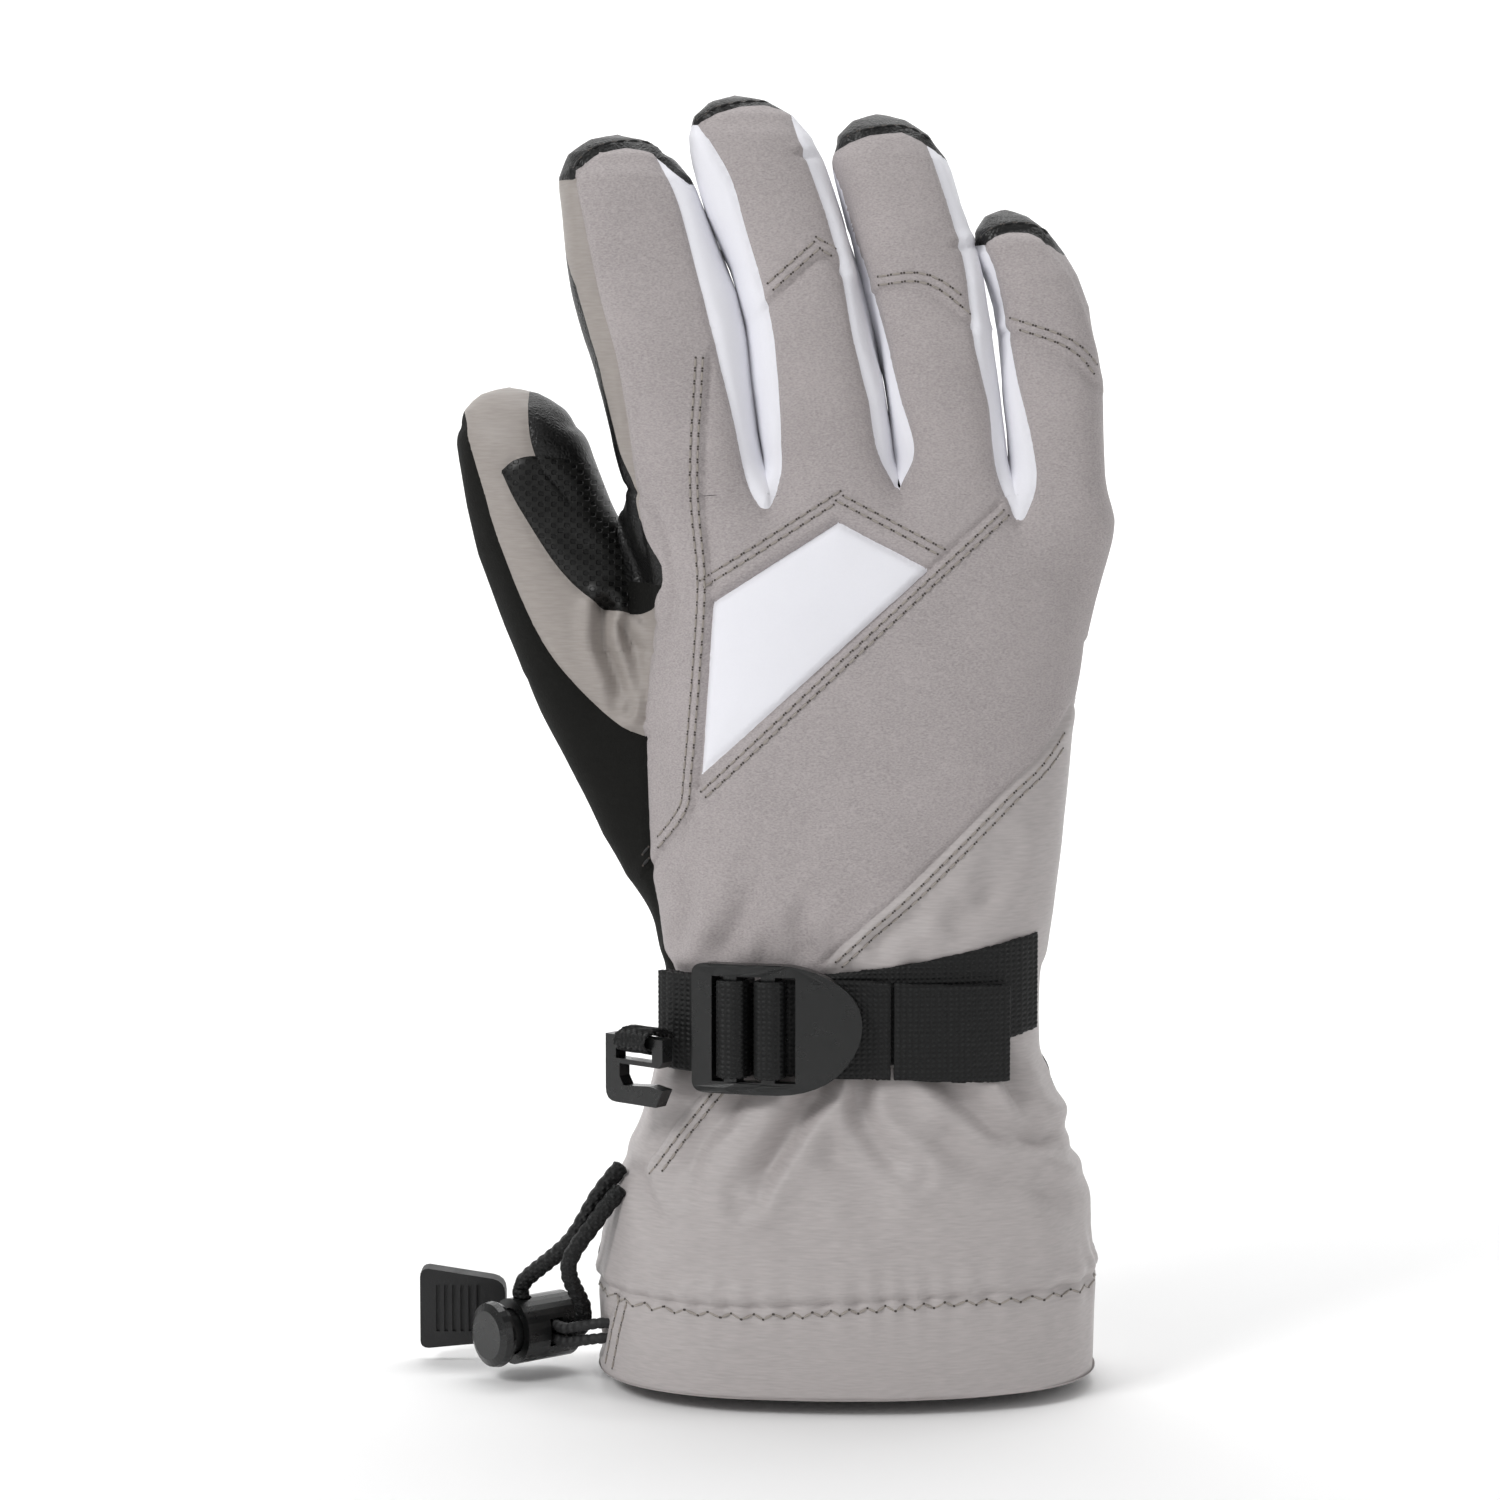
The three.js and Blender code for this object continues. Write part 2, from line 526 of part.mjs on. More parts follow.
function buildStrap() {
  const inner = -STRAP_OFF - 2 * LAYER; // the buckle's inner face
  const over = inner - BUCKLE_THICK - GAP - WEB_THICK / 2; // webbing over a bar
  const corner = 2.6;
  const tab = 16; // how far the tab's rounding reaches back from its tip
  const outline = new THREE.Shape();
  outline.moveTo(BUCKLE_LEFT + corner, -BUCKLE_HALF);
  outline.lineTo(BUCKLE_RIGHT - tab, -BUCKLE_HALF);
  outline.absellipse(BUCKLE_RIGHT - tab, 0, tab, BUCKLE_HALF, -Math.PI / 2, Math.PI / 2);
  outline.lineTo(BUCKLE_LEFT + corner, BUCKLE_HALF);
  outline.quadraticCurveTo(BUCKLE_LEFT, BUCKLE_HALF, BUCKLE_LEFT, BUCKLE_HALF - corner);
  outline.lineTo(BUCKLE_LEFT, corner - BUCKLE_HALF);
  outline.quadraticCurveTo(BUCKLE_LEFT, -BUCKLE_HALF, BUCKLE_LEFT + corner, -BUCKLE_HALF);
  const windows = BUCKLE_SLOTS.map(([x0, x1]) => box(x1 - x0, 20, WEB + 4 * GAP, (x0 + x1) / 2));
  const blank = plate(outline, BUCKLE_THICK, 10);
  const frame = geometryFrom(solidOf(cut(blank, ...windows)).refineToLength(6));
  add("ladder_buckle", drapePlate(frame.translate(0, inner, 0)), PLASTIC);

  // The load strap comes under the tab, up through the middle slot, over its bar and down again.
  const [outerSlot, middleSlot, tabSlot] = BUCKLE_SLOTS;
  const reach = WEB_THICK / 2 + 0.4; // from a bar's side to the middle of webbing beside it
  const rise = middleSlot[1] - reach;
  const fall = tabSlot[0] + reach;
  const strap = [
    ...steps(56, rise + 2.4, 15).map((x) => [x, firstLayer]),
    [rise + 0.5, firstLayer - 0.5], [rise, firstLayer - 1.6], [rise, inner - 1], [rise + 0.3, over + 0.9],
    [rise + 1.3, over], [fall - 1.3, over], [fall - 0.3, over + 0.9], [fall, inner - 1],
  ];
  add("wrist_strap", drapeRibbon(strap), WEBBING);
  const secondLayer = firstLayer - LAYER;
  const layer = (from, to, count) =>
    drapeRibbon(steps(from, to, count).map((x) => [x, secondLayer]), TAIL_CLIMB);
  add("strap_tail_root", layer(fall - 1, TAIL_HINGE, 6), WEBBING);
  add("strap_tail_end", layer(TAIL_HINGE + GAP, TAIL_END, 7), WEBBING);

  // The anchor goes up through the middle slot, over its own bar and back, and is sewn to the cuff.
  const up = middleSlot[0] + reach;
  const down = outerSlot[1] - reach;
  const anchor = [
    ...steps(ANCHOR_END, up - 2, 5).map((x) => [x, firstLayer]),
    [up - 0.5, firstLayer - 0.5], [up, firstLayer - 1.6], [up, inner - 1], [up - 0.3, over + 0.9],
    [up - 1.3, over], [down + 1.3, over], [down + 0.3, over + 0.9], [down, inner - 1],
    [down, inner + 0.2], [down - 0.6, secondLayer],
    ...steps(down - 3, ANCHOR_END, 4).map((x) => [x, secondLayer]),
  ];
  add("strap_anchor", drapeRibbon(anchor), WEBBING);
}

// ---- Glove clip ----
// A plastic hook that fastens the two gloves together. It hangs from a loop beside the buckle.
const CLIP = { x: -32, y: -25, z: 80, turn: -0.7, width: 17, height: 15.3, thick: 3.4 };
function placeClip(geometry) {
  return geometry.rotateZ(CLIP.turn).translate(CLIP.x, CLIP.y, CLIP.z);
}

function buildClip() {
  const { width, height, thick } = CLIP;
  const body = new THREE.Shape();
  body.moveTo(-width / 2, 0);
  body.lineTo(-width / 2, -height + 3);
  body.quadraticCurveTo(-width / 2, -height, -width / 2 + 3, -height);
  body.lineTo(width / 2 - 2, -height);
  body.lineTo(width / 2, -height + 4);
  body.lineTo(width / 2 - 4, -height + 4.6);
  body.lineTo(-width / 2 + 5.4, -height + 4);
  body.lineTo(-width / 2 + 4.2, -height + 6);
  body.lineTo(-width / 2 + 4.2, -6.4);
  body.lineTo(width / 2 - 1, -6.4);
  body.lineTo(width / 2, -5);
  body.lineTo(width / 2, 0);
  const slotted = cut(plate(body, thick), box(10.8, 20, 3.1, 0, 0, -3.75));
  add("glove_clip", placeClip(slotted.translate(0, thick / 2, 0)), PLASTIC);
  const ring = steps(0, 340, 12).map((angle) => {
    const turn = THREE.MathUtils.degToRad(angle);
    return [1.6 + 5.2 * Math.cos(turn), 2.6 * Math.sin(turn)];
  });
  const loop = ribbon(ring, 9.4, 0.7).rotateY(Math.PI / 2).rotateX(Math.PI / 2).translate(0, 0, -1.1);
  add("clip_loop", placeClip(loop), WEBBING);
}

// ---- Drawcord ----
// Where the drawcord leaves the hem on the thumb side, and the lock's own directions.
const eyelet = BODY.point(THREE.MathUtils.degToRad(-164), HEM_CORD_Z, HEM_WALL + HEM_CHANNEL / 2);
const EYELET_LINE = [
  [eyelet.x + 1, eyelet.y + 0.3, HEM_CORD_Z],
  [eyelet.x - 5, eyelet.y - 1.5, HEM_CORD_Z],
];
const lockAxis = [-Math.cos(LOCK_TURN), -Math.sin(LOCK_TURN)]; // from the barrel to its button
const lockPoint = (along, front, up) => [
  LOCK_CENTRE[0] + along * lockAxis[0] - front * lockAxis[1],
  LOCK_CENTRE[1] + along * lockAxis[1] + front * lockAxis[0],
  LOCK_CENTRE[2] + up,
];
const placeLock = (geometry) => geometry.rotateZ(Math.PI + LOCK_TURN).translate(...LOCK_CENTRE);

// A solid of revolution about X from [x, radius] points.
const turned = (profile, sides = 32) =>
  new THREE.LatheGeometry(profile.map(([x, r]) => new THREE.Vector2(r, x)), sides).rotateZ(-Math.PI / 2);

function buildLock() {
  const bore = STEM_RADIUS + GAP;
  const barrel = turned([
    [-9.5, 0], [-9.5, 4.4], [-8.6, 6.4], [-6.8, LOCK_RADIUS],
    [8, LOCK_RADIUS], [8, bore], [-7, bore], [-7, 0],
  ]);
  const cordRoom = box(3.6, 20, 6.4);
  const holeRadius = BRAID / 2 + GAP;
  const tetherHole = () => new THREE.CylinderGeometry(holeRadius, holeRadius, 6, 16);
  const tetherTop = tetherHole().rotateX(Math.PI / 2);
  const tetherFront = tetherHole();
  add(
    "lock_barrel",
    placeLock(cut(barrel, cordRoom, tetherTop.translate(4.8, 0, 8), tetherFront.translate(-4.6, 8, 0))),
    PLASTIC,
  );
  const button = turned([
    [-3, 0], [-3, STEM_RADIUS], [11.4, STEM_RADIUS], [11.4, LOCK_RADIUS - 0.4], [12.4, LOCK_RADIUS],
    [14, LOCK_RADIUS - 0.3], [14.8, LOCK_RADIUS - 2], [14.8, 0],
  ]);
  add("lock_button", placeLock(cut(button, box(3.6 + BUTTON_TRAVEL, 20, 6.4, BUTTON_TRAVEL / 2))), PLASTIC);
  const coils = steps(0, 1, 24).map((t) => {
    const turn = t * 3 * 2 * Math.PI;
    return [-6.3 + 2.6 * t, 3.4 * Math.cos(turn), 3.4 * Math.sin(turn)];
  });
  add("lock_spring", placeLock(cord(coils, 0.6, 60, 6)), STEEL);

  // Two strands run from the hem through the lock to the pull tab.
  for (const [name, up] of [["drawcord_strand_upper", 1.6], ["drawcord_strand_lower", -1.6]]) {
    const strand = [
      [eyelet.x - 0.4, eyelet.y - 0.2, HEM_CORD_Z + up],
      [eyelet.x - 5, eyelet.y - 0.4, HEM_CORD_Z + up * 1.1],
      ...steps(11, -10, 6).map((front) => lockPoint(0, front, up)),
      [TAB.x + TAB.length / 2 + 1.4, TAB.y, LOCK_CENTRE[2] + up],
      [TAB.x + TAB.length / 2 - 4.4, TAB.y, LOCK_CENTRE[2] + up],
    ];
    add(name, cord(strand, SHOCK_CORD, 30), RUBBER);
  }
  // Two braided tethers hang from the cuff's side seam to the barrel.
  const start = BODY.point(THREE.MathUtils.degToRad(-163), TETHER_Z, -2.4);
  const tether = (name, side, end) => {
    const hang = [
      [start.x, start.y + side, TETHER_Z + side],
      [start.x - 5.5, start.y - 1 + side, TETHER_Z - 7 + side],
      [start.x - 12, start.y - 1.6 + side, TETHER_Z - 17.5 + side],
    ];
    add(name, cord([...hang, ...end], BRAID, 26), WEBBING);
  };
  const intoTop = [lockPoint(4.8, 1, 11.5), lockPoint(4.8, 0, 6.6)];
  const intoFront = [lockPoint(-3.6, 12.5, 6), lockPoint(-4.6, 9.4, 0.4), lockPoint(-4.6, 6.4, 0)];
  const apart = BRAID / 2 + GAP;
  tether("tether_upper", apart, intoTop);
  tether("tether_lower", -apart, intoFront);
}

// The pull tab stands on its edge behind the button.
const TAB = { x: -74.5, y: 13.4, length: 20, height: 19, thick: 5.4 };
function buildPullTab() {
  const { length, height, thick } = TAB;
  const outline = new THREE.Shape();
  outline.moveTo(-length / 2, 2);
  outline.quadraticCurveTo(-length / 2, 0.1, -length / 2 + 2, 0.1);
  outline.lineTo(length / 2 - 2, 1.6);
  outline.quadraticCurveTo(length / 2, 2.4, length / 2, 4);
  outline.lineTo(length / 2, height - 6);
  outline.quadraticCurveTo(length / 2, height - 3, length / 2 - 3, height - 2.4);
  outline.lineTo(-length / 2 + 2, height);
  outline.quadraticCurveTo(-length / 2, height, -length / 2, height - 2);
  const body = plate(outline, thick).translate(TAB.x, TAB.y + thick / 2, 0);
  const groove = (i) => box(0.9, 1.2, 11, TAB.x - 5.8 + i * 1.9, TAB.y - thick / 2, 9.6);
  const grooves = steps(0, 5, 5).map(groove);
  const cordRoom = box(6, SHOCK_CORD + 3 * GAP, 6.4, TAB.x + length / 2 - 2, TAB.y, LOCK_CENTRE[2]);
  add("pull_tab", cut(body, cordRoom, ...grooves), RUBBER);
}

buildHand();
for (const [name, tube] of Object.entries(FINGERS)) buildFinger(name, tube);
buildThumb();
buildCuff();
buildStrap();
buildClip();
buildLock();
buildPullTab();

// The origin is under the middle of the glove, measured without its cords and what hangs on them.
const hanging = /^(drawcord|tether|lock|pull)_/;
const bounds = new THREE.Box3();
for (const mesh of glove.children) if (!hanging.test(mesh.name)) bounds.expandByObject(mesh);
const centre = bounds.getCenter(new THREE.Vector3());
glove.position.set(-centre.x, -centre.y, -bounds.min.z);

export default glove;
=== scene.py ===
"""The looks of a right-hand ski glove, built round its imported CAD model.

The glove's skin is a smooth surface round tubes that are measured from the CAD shell. It is cut along
its seams into panels, puffed between them and creased, and then stitched. Webbing, cords, a lining and
the small hardware follow. Lengths in this script are in millimetres, and every mesh is made in metres.
"""

import json
import math

import bpy
import numpy as np
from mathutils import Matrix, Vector
from mathutils.bvhtree import BVHTree


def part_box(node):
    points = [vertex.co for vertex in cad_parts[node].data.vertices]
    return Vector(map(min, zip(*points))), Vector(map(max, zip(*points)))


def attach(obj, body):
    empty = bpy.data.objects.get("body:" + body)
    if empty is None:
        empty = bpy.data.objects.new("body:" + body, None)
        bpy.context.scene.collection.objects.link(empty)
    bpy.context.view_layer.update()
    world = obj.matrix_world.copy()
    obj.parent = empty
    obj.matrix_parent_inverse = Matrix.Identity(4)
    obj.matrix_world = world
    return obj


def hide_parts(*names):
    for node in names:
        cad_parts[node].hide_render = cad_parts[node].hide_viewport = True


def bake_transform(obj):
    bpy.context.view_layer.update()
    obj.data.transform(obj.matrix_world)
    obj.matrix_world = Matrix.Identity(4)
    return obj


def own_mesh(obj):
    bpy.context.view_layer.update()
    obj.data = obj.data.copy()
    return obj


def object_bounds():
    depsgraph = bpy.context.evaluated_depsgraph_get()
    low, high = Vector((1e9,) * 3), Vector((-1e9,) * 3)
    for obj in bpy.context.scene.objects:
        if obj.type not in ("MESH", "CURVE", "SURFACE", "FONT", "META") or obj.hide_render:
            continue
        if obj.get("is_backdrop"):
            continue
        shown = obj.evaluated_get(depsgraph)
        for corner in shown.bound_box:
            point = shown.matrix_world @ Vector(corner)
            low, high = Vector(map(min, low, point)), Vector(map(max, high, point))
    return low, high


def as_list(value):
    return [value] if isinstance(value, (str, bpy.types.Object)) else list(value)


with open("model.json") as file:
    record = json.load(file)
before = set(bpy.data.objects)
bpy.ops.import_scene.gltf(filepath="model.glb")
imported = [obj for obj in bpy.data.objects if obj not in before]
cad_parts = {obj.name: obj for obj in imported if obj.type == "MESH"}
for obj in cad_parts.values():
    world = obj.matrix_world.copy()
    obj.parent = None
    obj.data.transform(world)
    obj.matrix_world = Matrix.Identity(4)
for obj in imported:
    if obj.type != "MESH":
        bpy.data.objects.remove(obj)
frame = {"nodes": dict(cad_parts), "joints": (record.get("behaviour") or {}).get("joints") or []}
cad_low, cad_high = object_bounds()

MM = 0.001
DIGITS = ("index", "middle", "ring", "little")
SHELL_PARTS = ("back", "outer_sidewall", "palm", "thumb_sidewall", "tip_cap")
THUMB_PARTS = ("back", "side", "wipe_patch", "palm", "tip_cap")


# ---- Measuring the frame ----
def box_mm(*nodes):
    """The lowest and highest corners of some CAD nodes together, in millimetres."""
    corners = [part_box(n) for n in nodes]
    low = np.min([tuple(c[0]) for c in corners], axis=0) / MM
    high = np.max([tuple(c[1]) for c in corners], axis=0) / MM
    return low, high


def joint_mm(name):
    """The point that a joint turns about, in millimetres."""
    joint = next(j for j in frame["joints"] if j["name"] == name)
    return np.array(joint["pos_m"]) / MM


def mesh_arrays(mesh):
    """The points, in millimetres, and edges of a Blender mesh."""
    points = np.empty(len(mesh.vertices) * 3)
    mesh.vertices.foreach_get("co", points)
    edges = np.empty(len(mesh.edges) * 2, int)
    mesh.edges.foreach_get("vertices", edges)
    return points.reshape(-1, 3) / MM, edges.reshape(-1, 2)


def edges_of(nodes):
    ends = []
    for name in nodes:
        points, edges = mesh_arrays(frame["nodes"][name].data)
        ends.append(points[edges])
    return np.concatenate(ends)


def section(edges, height):
    """The box of what the edges cut out of a level plane: low x, low y, high x, high y."""
    below, above = edges[:, 0], edges[:, 1]
    crossing = (below[:, 2] - height) * (above[:, 2] - height) < 0
    below, above = below[crossing], above[crossing]
    share = (height - below[:, 2]) / (above[:, 2] - below[:, 2])
    points = below + (above - below) * share[:, None]
    return np.concatenate([points[:, :2].min(0), points[:, :2].max(0)])


HEM_TOP = box_mm("hem_band")[1][2]
CUFF_TOP = box_mm("cuff_back_panel")[1][2]
WRIST = joint_mm("wrist_flex")[2]
KNUCKLES = box_mm("palm_panel")[1][2]  # the top of the hand, where the fingers begin
SPLIT = KNUCKLES + 2.6  # above this height each finger has panels of its own
THUMB_SPLIT = joint_mm("thumb_flex")[2] - 6
WRIST_LOW, WRIST_HIGH = CUFF_TOP - 2.6, WRIST + 13  # heights round the wrist; the main skin's middle zone begins at the first
HAND_SPLIT = WRIST + 38  # the hand's panels are cut here, well above the wrist
BEND = 16  # a height above each digit's base, passed to turn_with
STRAP_LOW, STRAP_HIGH = box_mm("wrist_strap")[0][2], box_mm("strap_tail_root")[1][2]

# ---- Pattern lines: x and z in millimetres, on the back of the glove as it stands ----
DIAGONAL = [(49.5, 198.3), (27, 177.9), (4.8, 157.3), (-18.2, 135.4)]
LOW_DIAGONAL = [(66.6, 152.7), (58.7, 141.8), (49.7, 133.7), (29, 113.7), (18.1, 104.2), (10.8, 97.5)]
CHEVRON = [(-14.8, 176.6), (13.5, 194.6), (33.5, 184.1), (-17.5, 137.9)]
STRIP = [
    (-15.3, 231), (-16.6, 203.7), (-15, 183.3), (-15.4, 169.7), (-17.9, 138.8), (-19.8, 128.3),
    (-29.3, 115.4),
]
SIDE = [
    (-45.9, 271.5), (-43.8, 261.7), (-39.9, 243.8), (-35.4, 225.9), (-31, 192.6), (-28.6, 176.2),
    (-28.5, 165.6), (-30.1, 149.5),
]
HAND_EDGE = [(-30.1, 149.5), (-29, 117.5), (-26, 100), (-24, 90)]
THUMB_BLACK = [
    (-71.7, 219.3), (-67.9, 203.4), (-62.1, 185.2), (-54.1, 167.1), (-45, 155.8), (-35.8, 148),
    (-29.4, 145.2),
]
CROTCH_SEAM = [(-35.5, 171), (-33.5, 167), (-28.6, 164.8)]
GRIP_PATCH = [
    (-63.1, 205.5), (-58.5, 208.5), (-49.5, 208.5), (-38, 204), (-26, 194), (-24, 172), (-33.1, 173),
    (-40.4, 175.1), (-49.5, 183.1), (-58.5, 196.7),
]
THUMB_LEATHER = [(-57.4, 232), (-56.8, 215.9), (-54, 207), (-47.3, 199)]
CUFF_SEAM = [(-12, 71.5), (-16.8, 66.1), (-23.2, 57.9), (-29.1, 49.6)]
HEM_SEAM = [(-60, 20.6), (-28.7, 21), (-12.7, 20.8), (4.8, 21.7), (26.9, 23), (49.3, 23.8), (90, 22.5)]
HEM_SIDE = [(-36.6, 20), (-38.5, 12), (-40, 4)]
# the two edges of each finger's back, from the tip down to the fork between two fingers
EDGES = {
    "index": (
        SIDE,
        [
            (-26.5, 281), (-27.2, 277), (-22.2, 266.2), (-17.5, 248.2), (-14.1, 234.8), (-9.7, 217),
            (-6.7, 203), (-3.2, 196.5),
        ],
    ),
    "middle": (
        [
            (-21, 287), (-18.3, 283.5), (-11, 271.7), (-7.4, 259.4), (-2.9, 243.7), (-0.7, 230.4),
            (0.4, 210.3), (-0.2, 203), (-2.2, 196.5),
        ],
        [
            (1.6, 290), (2.4, 286), (8.1, 271.9), (13.9, 252.8), (17.2, 234.8), (20.6, 221.5),
            (22.6, 210.3), (26.3, 202.6),
        ],
    ),
    "ring": (
        [
            (9.5, 282), (11.9, 277.4), (14.5, 268.9), (17.4, 257.6), (22.9, 239.4), (27.3, 221.5),
            (30.2, 210.3), (27.3, 202.6),
        ],
        [
            (33.2, 284), (33.9, 278.9), (36.5, 272), (41.9, 252.8), (44, 234.8), (47.5, 221.5),
            (48.9, 210.3), (50.2, 203), (53.6, 194),
        ],
    ),
    "little": (
        [
            (43.5, 261), (45.6, 256.4), (48.1, 250.6), (50.6, 239.4), (53.1, 226), (56.4, 212.6),
            (57.6, 203), (54.6, 194),
        ],
        [
            (60.5, 262), (61.3, 256.5), (66, 250.6), (71.4, 237.2), (76, 221.5), (78, 190),
        ],
    ),
}
CAPS = {
    "index": [
        (-60, 271.5), (-46.4, 271), (-43.6, 274.6), (-40.1, 277.2), (-34, 278.4), (-27.8, 277.2),
        (-20, 270),
    ],
    "middle": [
        (-30, 283), (-18.3, 283.5), (-14, 286), (-8.6, 287.4), (-3, 287.6), (1.7, 286.2), (12, 279),
    ],
    "ring": [
        (5, 276.6), (12.6, 276.8), (16, 279.4), (20.7, 281.2), (28, 281.8), (33.9, 279), (42, 272),
    ],
    "little": [
        (40, 256), (45.6, 256.4), (48.6, 258.6), (52.2, 259.8), (57, 259.6), (61.8, 257), (70, 250),
    ],
}
FINGER_SEAMS = {
    "middle": [(-2.3, 242.6), (9.4, 253.1), (14.6, 250.2)],
    "ring": [(22.4, 245.4), (32.8, 245.7), (43.6, 238)],
    "little": [(50.6, 236.5), (64.1, 231.5), (70.9, 224.8)],
}


# ---- Lines in the plane ----
def smooth(line, steps=5):
    """A Catmull-Rom curve through the points of a line, in any number of dimensions."""
    line = np.array(line, float)
    ends = np.vstack([2 * line[0] - line[1], line, 2 * line[-1] - line[-2]])
    points = []
    for p0, p1, p2, p3 in zip(ends, ends[1:], ends[2:], ends[3:]):
        for t in np.arange(steps) / steps:
            points.append(0.5 * (2 * p1 + (p2 - p0) * t + (2 * p0 - 5 * p1 + 4 * p2 - p3) * t**2
                                 + (3 * p1 - p0 - 3 * p2 + p3) * t**3))
    return np.vstack([points, line[-1:]])


def extended(line, reach=150):
    line = np.array(line, float)
    first = line[0] + (line[0] - line[1]) / np.linalg.norm(line[0] - line[1]) * reach
    last = line[-1] + (line[-1] - line[-2]) / np.linalg.norm(line[-1] - line[-2]) * reach
    return np.vstack([first, line, last])


def shifted(line, distance):
    """A line moved sideways, to the left of its direction, with mitred corners."""
    line = np.array(line, float)
    along = np.diff(line, axis=0)
    along /= np.linalg.norm(along, axis=1)[:, None]
    left = np.column_stack([-along[:, 1], along[:, 0]])
    before, after = np.vstack([left[:1], left]), np.vstack([left, left[-1:]])
    return line + distance * (before + after) / (1 + (before * after).sum(1))[:, None]


def to_line(p, line):
    """Signed distances in the x-z plane to a line, positive on the left of its direction."""
    q = p[:, [0, 2]]
    line = np.array(line, float)
    best = np.full(len(q), np.inf)
    side = np.zeros(len(q))  # how far a point is to the left of the nearest stretch, carried on past its ends
    for start, end in zip(line, line[1:]):
        d = end - start
        r = q - start
        off = r - np.clip((r @ d) / (d @ d), 0, 1)[:, None] * d
        distance = np.hypot(off[:, 0], off[:, 1])
        across = (d[0] * r[:, 1] - d[1] * r[:, 0]) / math.hypot(*d)
        level = np.abs(distance - best) < 1e-6
        closer = np.where(level, np.abs(across) > np.abs(side), distance < best)
        side = np.where(closer, across, side)
        best = np.minimum(best, distance)
    return np.where(side < 0, -best, best)


def left_of(line):
    curve = extended(line)
    return lambda p: -to_line(p, curve)


def right_of(line):
    curve = extended(line)
    return lambda p: to_line(p, curve)


def within(outline):
    """Negative inside a clockwise outline."""
    closed = np.vstack([outline, outline[:1]])
    return lambda p: to_line(p, closed)


def both(*tests):
    return lambda p: np.max([test(p) for test in tests], axis=0)


def rounded(radius, *tests):
    """Like both, for two tests, with the corner between them rounded off."""

    def test(p):
        a, b = (t(p) + radius for t in tests)
        return np.minimum(np.maximum(a, b), 0) + np.hypot(np.maximum(a, 0), np.maximum(b, 0)) - radius

    return test


def either(*tests):
    return lambda p: np.min([test(p) for test in tests], axis=0)


def below(height):
    return lambda p: p[:, 2] - height


def above(height):
    return lambda p: height - p[:, 2]


def behind(depth):
    """On the palm's side of a plane across the glove."""
    return lambda p: depth - p[:, 1]


# ---- Tubes ----
# the power of the rounded rectangles: 2 is an ellipse, and more is squarer
FINGER_SQUARE, THUMB_SQUARE, CUFF_SQUARE = 2.6, 2.4, 2.5
TIP_DOME = 15  # the height of a finger's rounded end


class Tube:
    """A stack of level rounded-rectangle sections: z, centre x and y, half width and half depth."""

    def __init__(self, rows, squareness):
        self.rows = np.array(sorted(rows), float)
        self.power = squareness
        self.top = self.rows[-1, 0]

    def at(self, z):
        return [np.interp(z, self.rows[:, 0], self.rows[:, k]) for k in (1, 2, 3, 4)]

    def field(self, p):
        """About the distance outside the tube, negative inside."""
        x, y, a, b = self.at(p[:, 2])
        u, v = np.abs(p[:, 0] - x) / a, np.abs(p[:, 1] - y) / b
        across = ((u**self.power + v**self.power) ** (1 / self.power) - 1) * np.minimum(a, b)
        above = np.hypot(np.maximum(across, 0), p[:, 2] - self.top)
        return np.where(p[:, 2] > self.top, above, across)

    def ring(self, z, inset, count):
        x, y, a, b = self.at(z)
        t = np.arange(count) * math.tau / count
        c, s = np.cos(t), np.sin(t)
        grow = 2 / self.power
        return np.column_stack([
            x + (a - inset) * np.sign(c) * np.abs(c) ** grow,
            y + (b - inset) * np.sign(s) * np.abs(s) ** grow,
            np.full(count, z),
        ])


def station(edges, z):
    x0, y0, x1, y1 = section(edges, z)
    return [z, (x0 + x1) / 2, (y0 + y1) / 2, (x1 - x0) / 2, (y1 - y0) / 2]


def domed(edges, tip):
    """The sections of a rounded end, closer together towards the tip."""
    rows = [station(edges, tip - TIP_DOME * (1 - math.sin(t))) for t in np.linspace(0.15, 1.5, 8)]
    return rows + [[tip, rows[-1][1], rows[-1][2], 0.3, 0.3]]


def digit_tube(name):
    edges = edges_of([f"{name}_{part}" for part in SHELL_PARTS])
    tip = box_mm(f"{name}_tip_cap")[1][2]
    straight = [station(edges, z) for z in np.linspace(KNUCKLES + 17, tip - TIP_DOME, 6)]
    first, second = straight[0], straight[1]
    slope = (second[1] - first[1]) / (second[0] - first[0])

    def lean(z):
        return first[1] + (z - first[0]) * slope

    root = [KNUCKLES - 26, lean(KNUCKLES - 26), 0, first[3] * 0.8, first[4] * 0.8]
    knuckle = [KNUCKLES, lean(KNUCKLES), 0, first[3] * 0.97, first[4] + 0.6]
    return Tube([root, knuckle] + straight + domed(edges, tip), FINGER_SQUARE)


def thumb_tube():
    edges = edges_of([f"thumb_{part}" for part in THUMB_PARTS])
    tip = box_mm("thumb_tip_cap")[1][2]
    root_top = joint_mm("thumb_flex")[2]
    straight = [station(edges, z) for z in np.linspace(root_top + 16, tip - 16, 3)]
    saddle = edges_of(["thumb_saddle_panel"])
    low = box_mm("thumb_saddle_panel")[0][2]
    root = []
    for z in np.linspace(low + 1, root_top - 1.5, 6):
        share = (z - low) / (root_top - low)  # of the way up the saddle
        half, depth, back = 14.4 + 2.2 * share, 12.2 + 3.8 * share, 7.5 + 6.5 * share
        root.append([z, section(saddle, z)[0] + half, back, half, depth])
    foot = [low - 24, root[0][1] + 12.5, 3, 10.5, 9]  # it sinks into the wrist
    return Tube([foot] + root + straight + domed(edges, tip), THUMB_SQUARE)


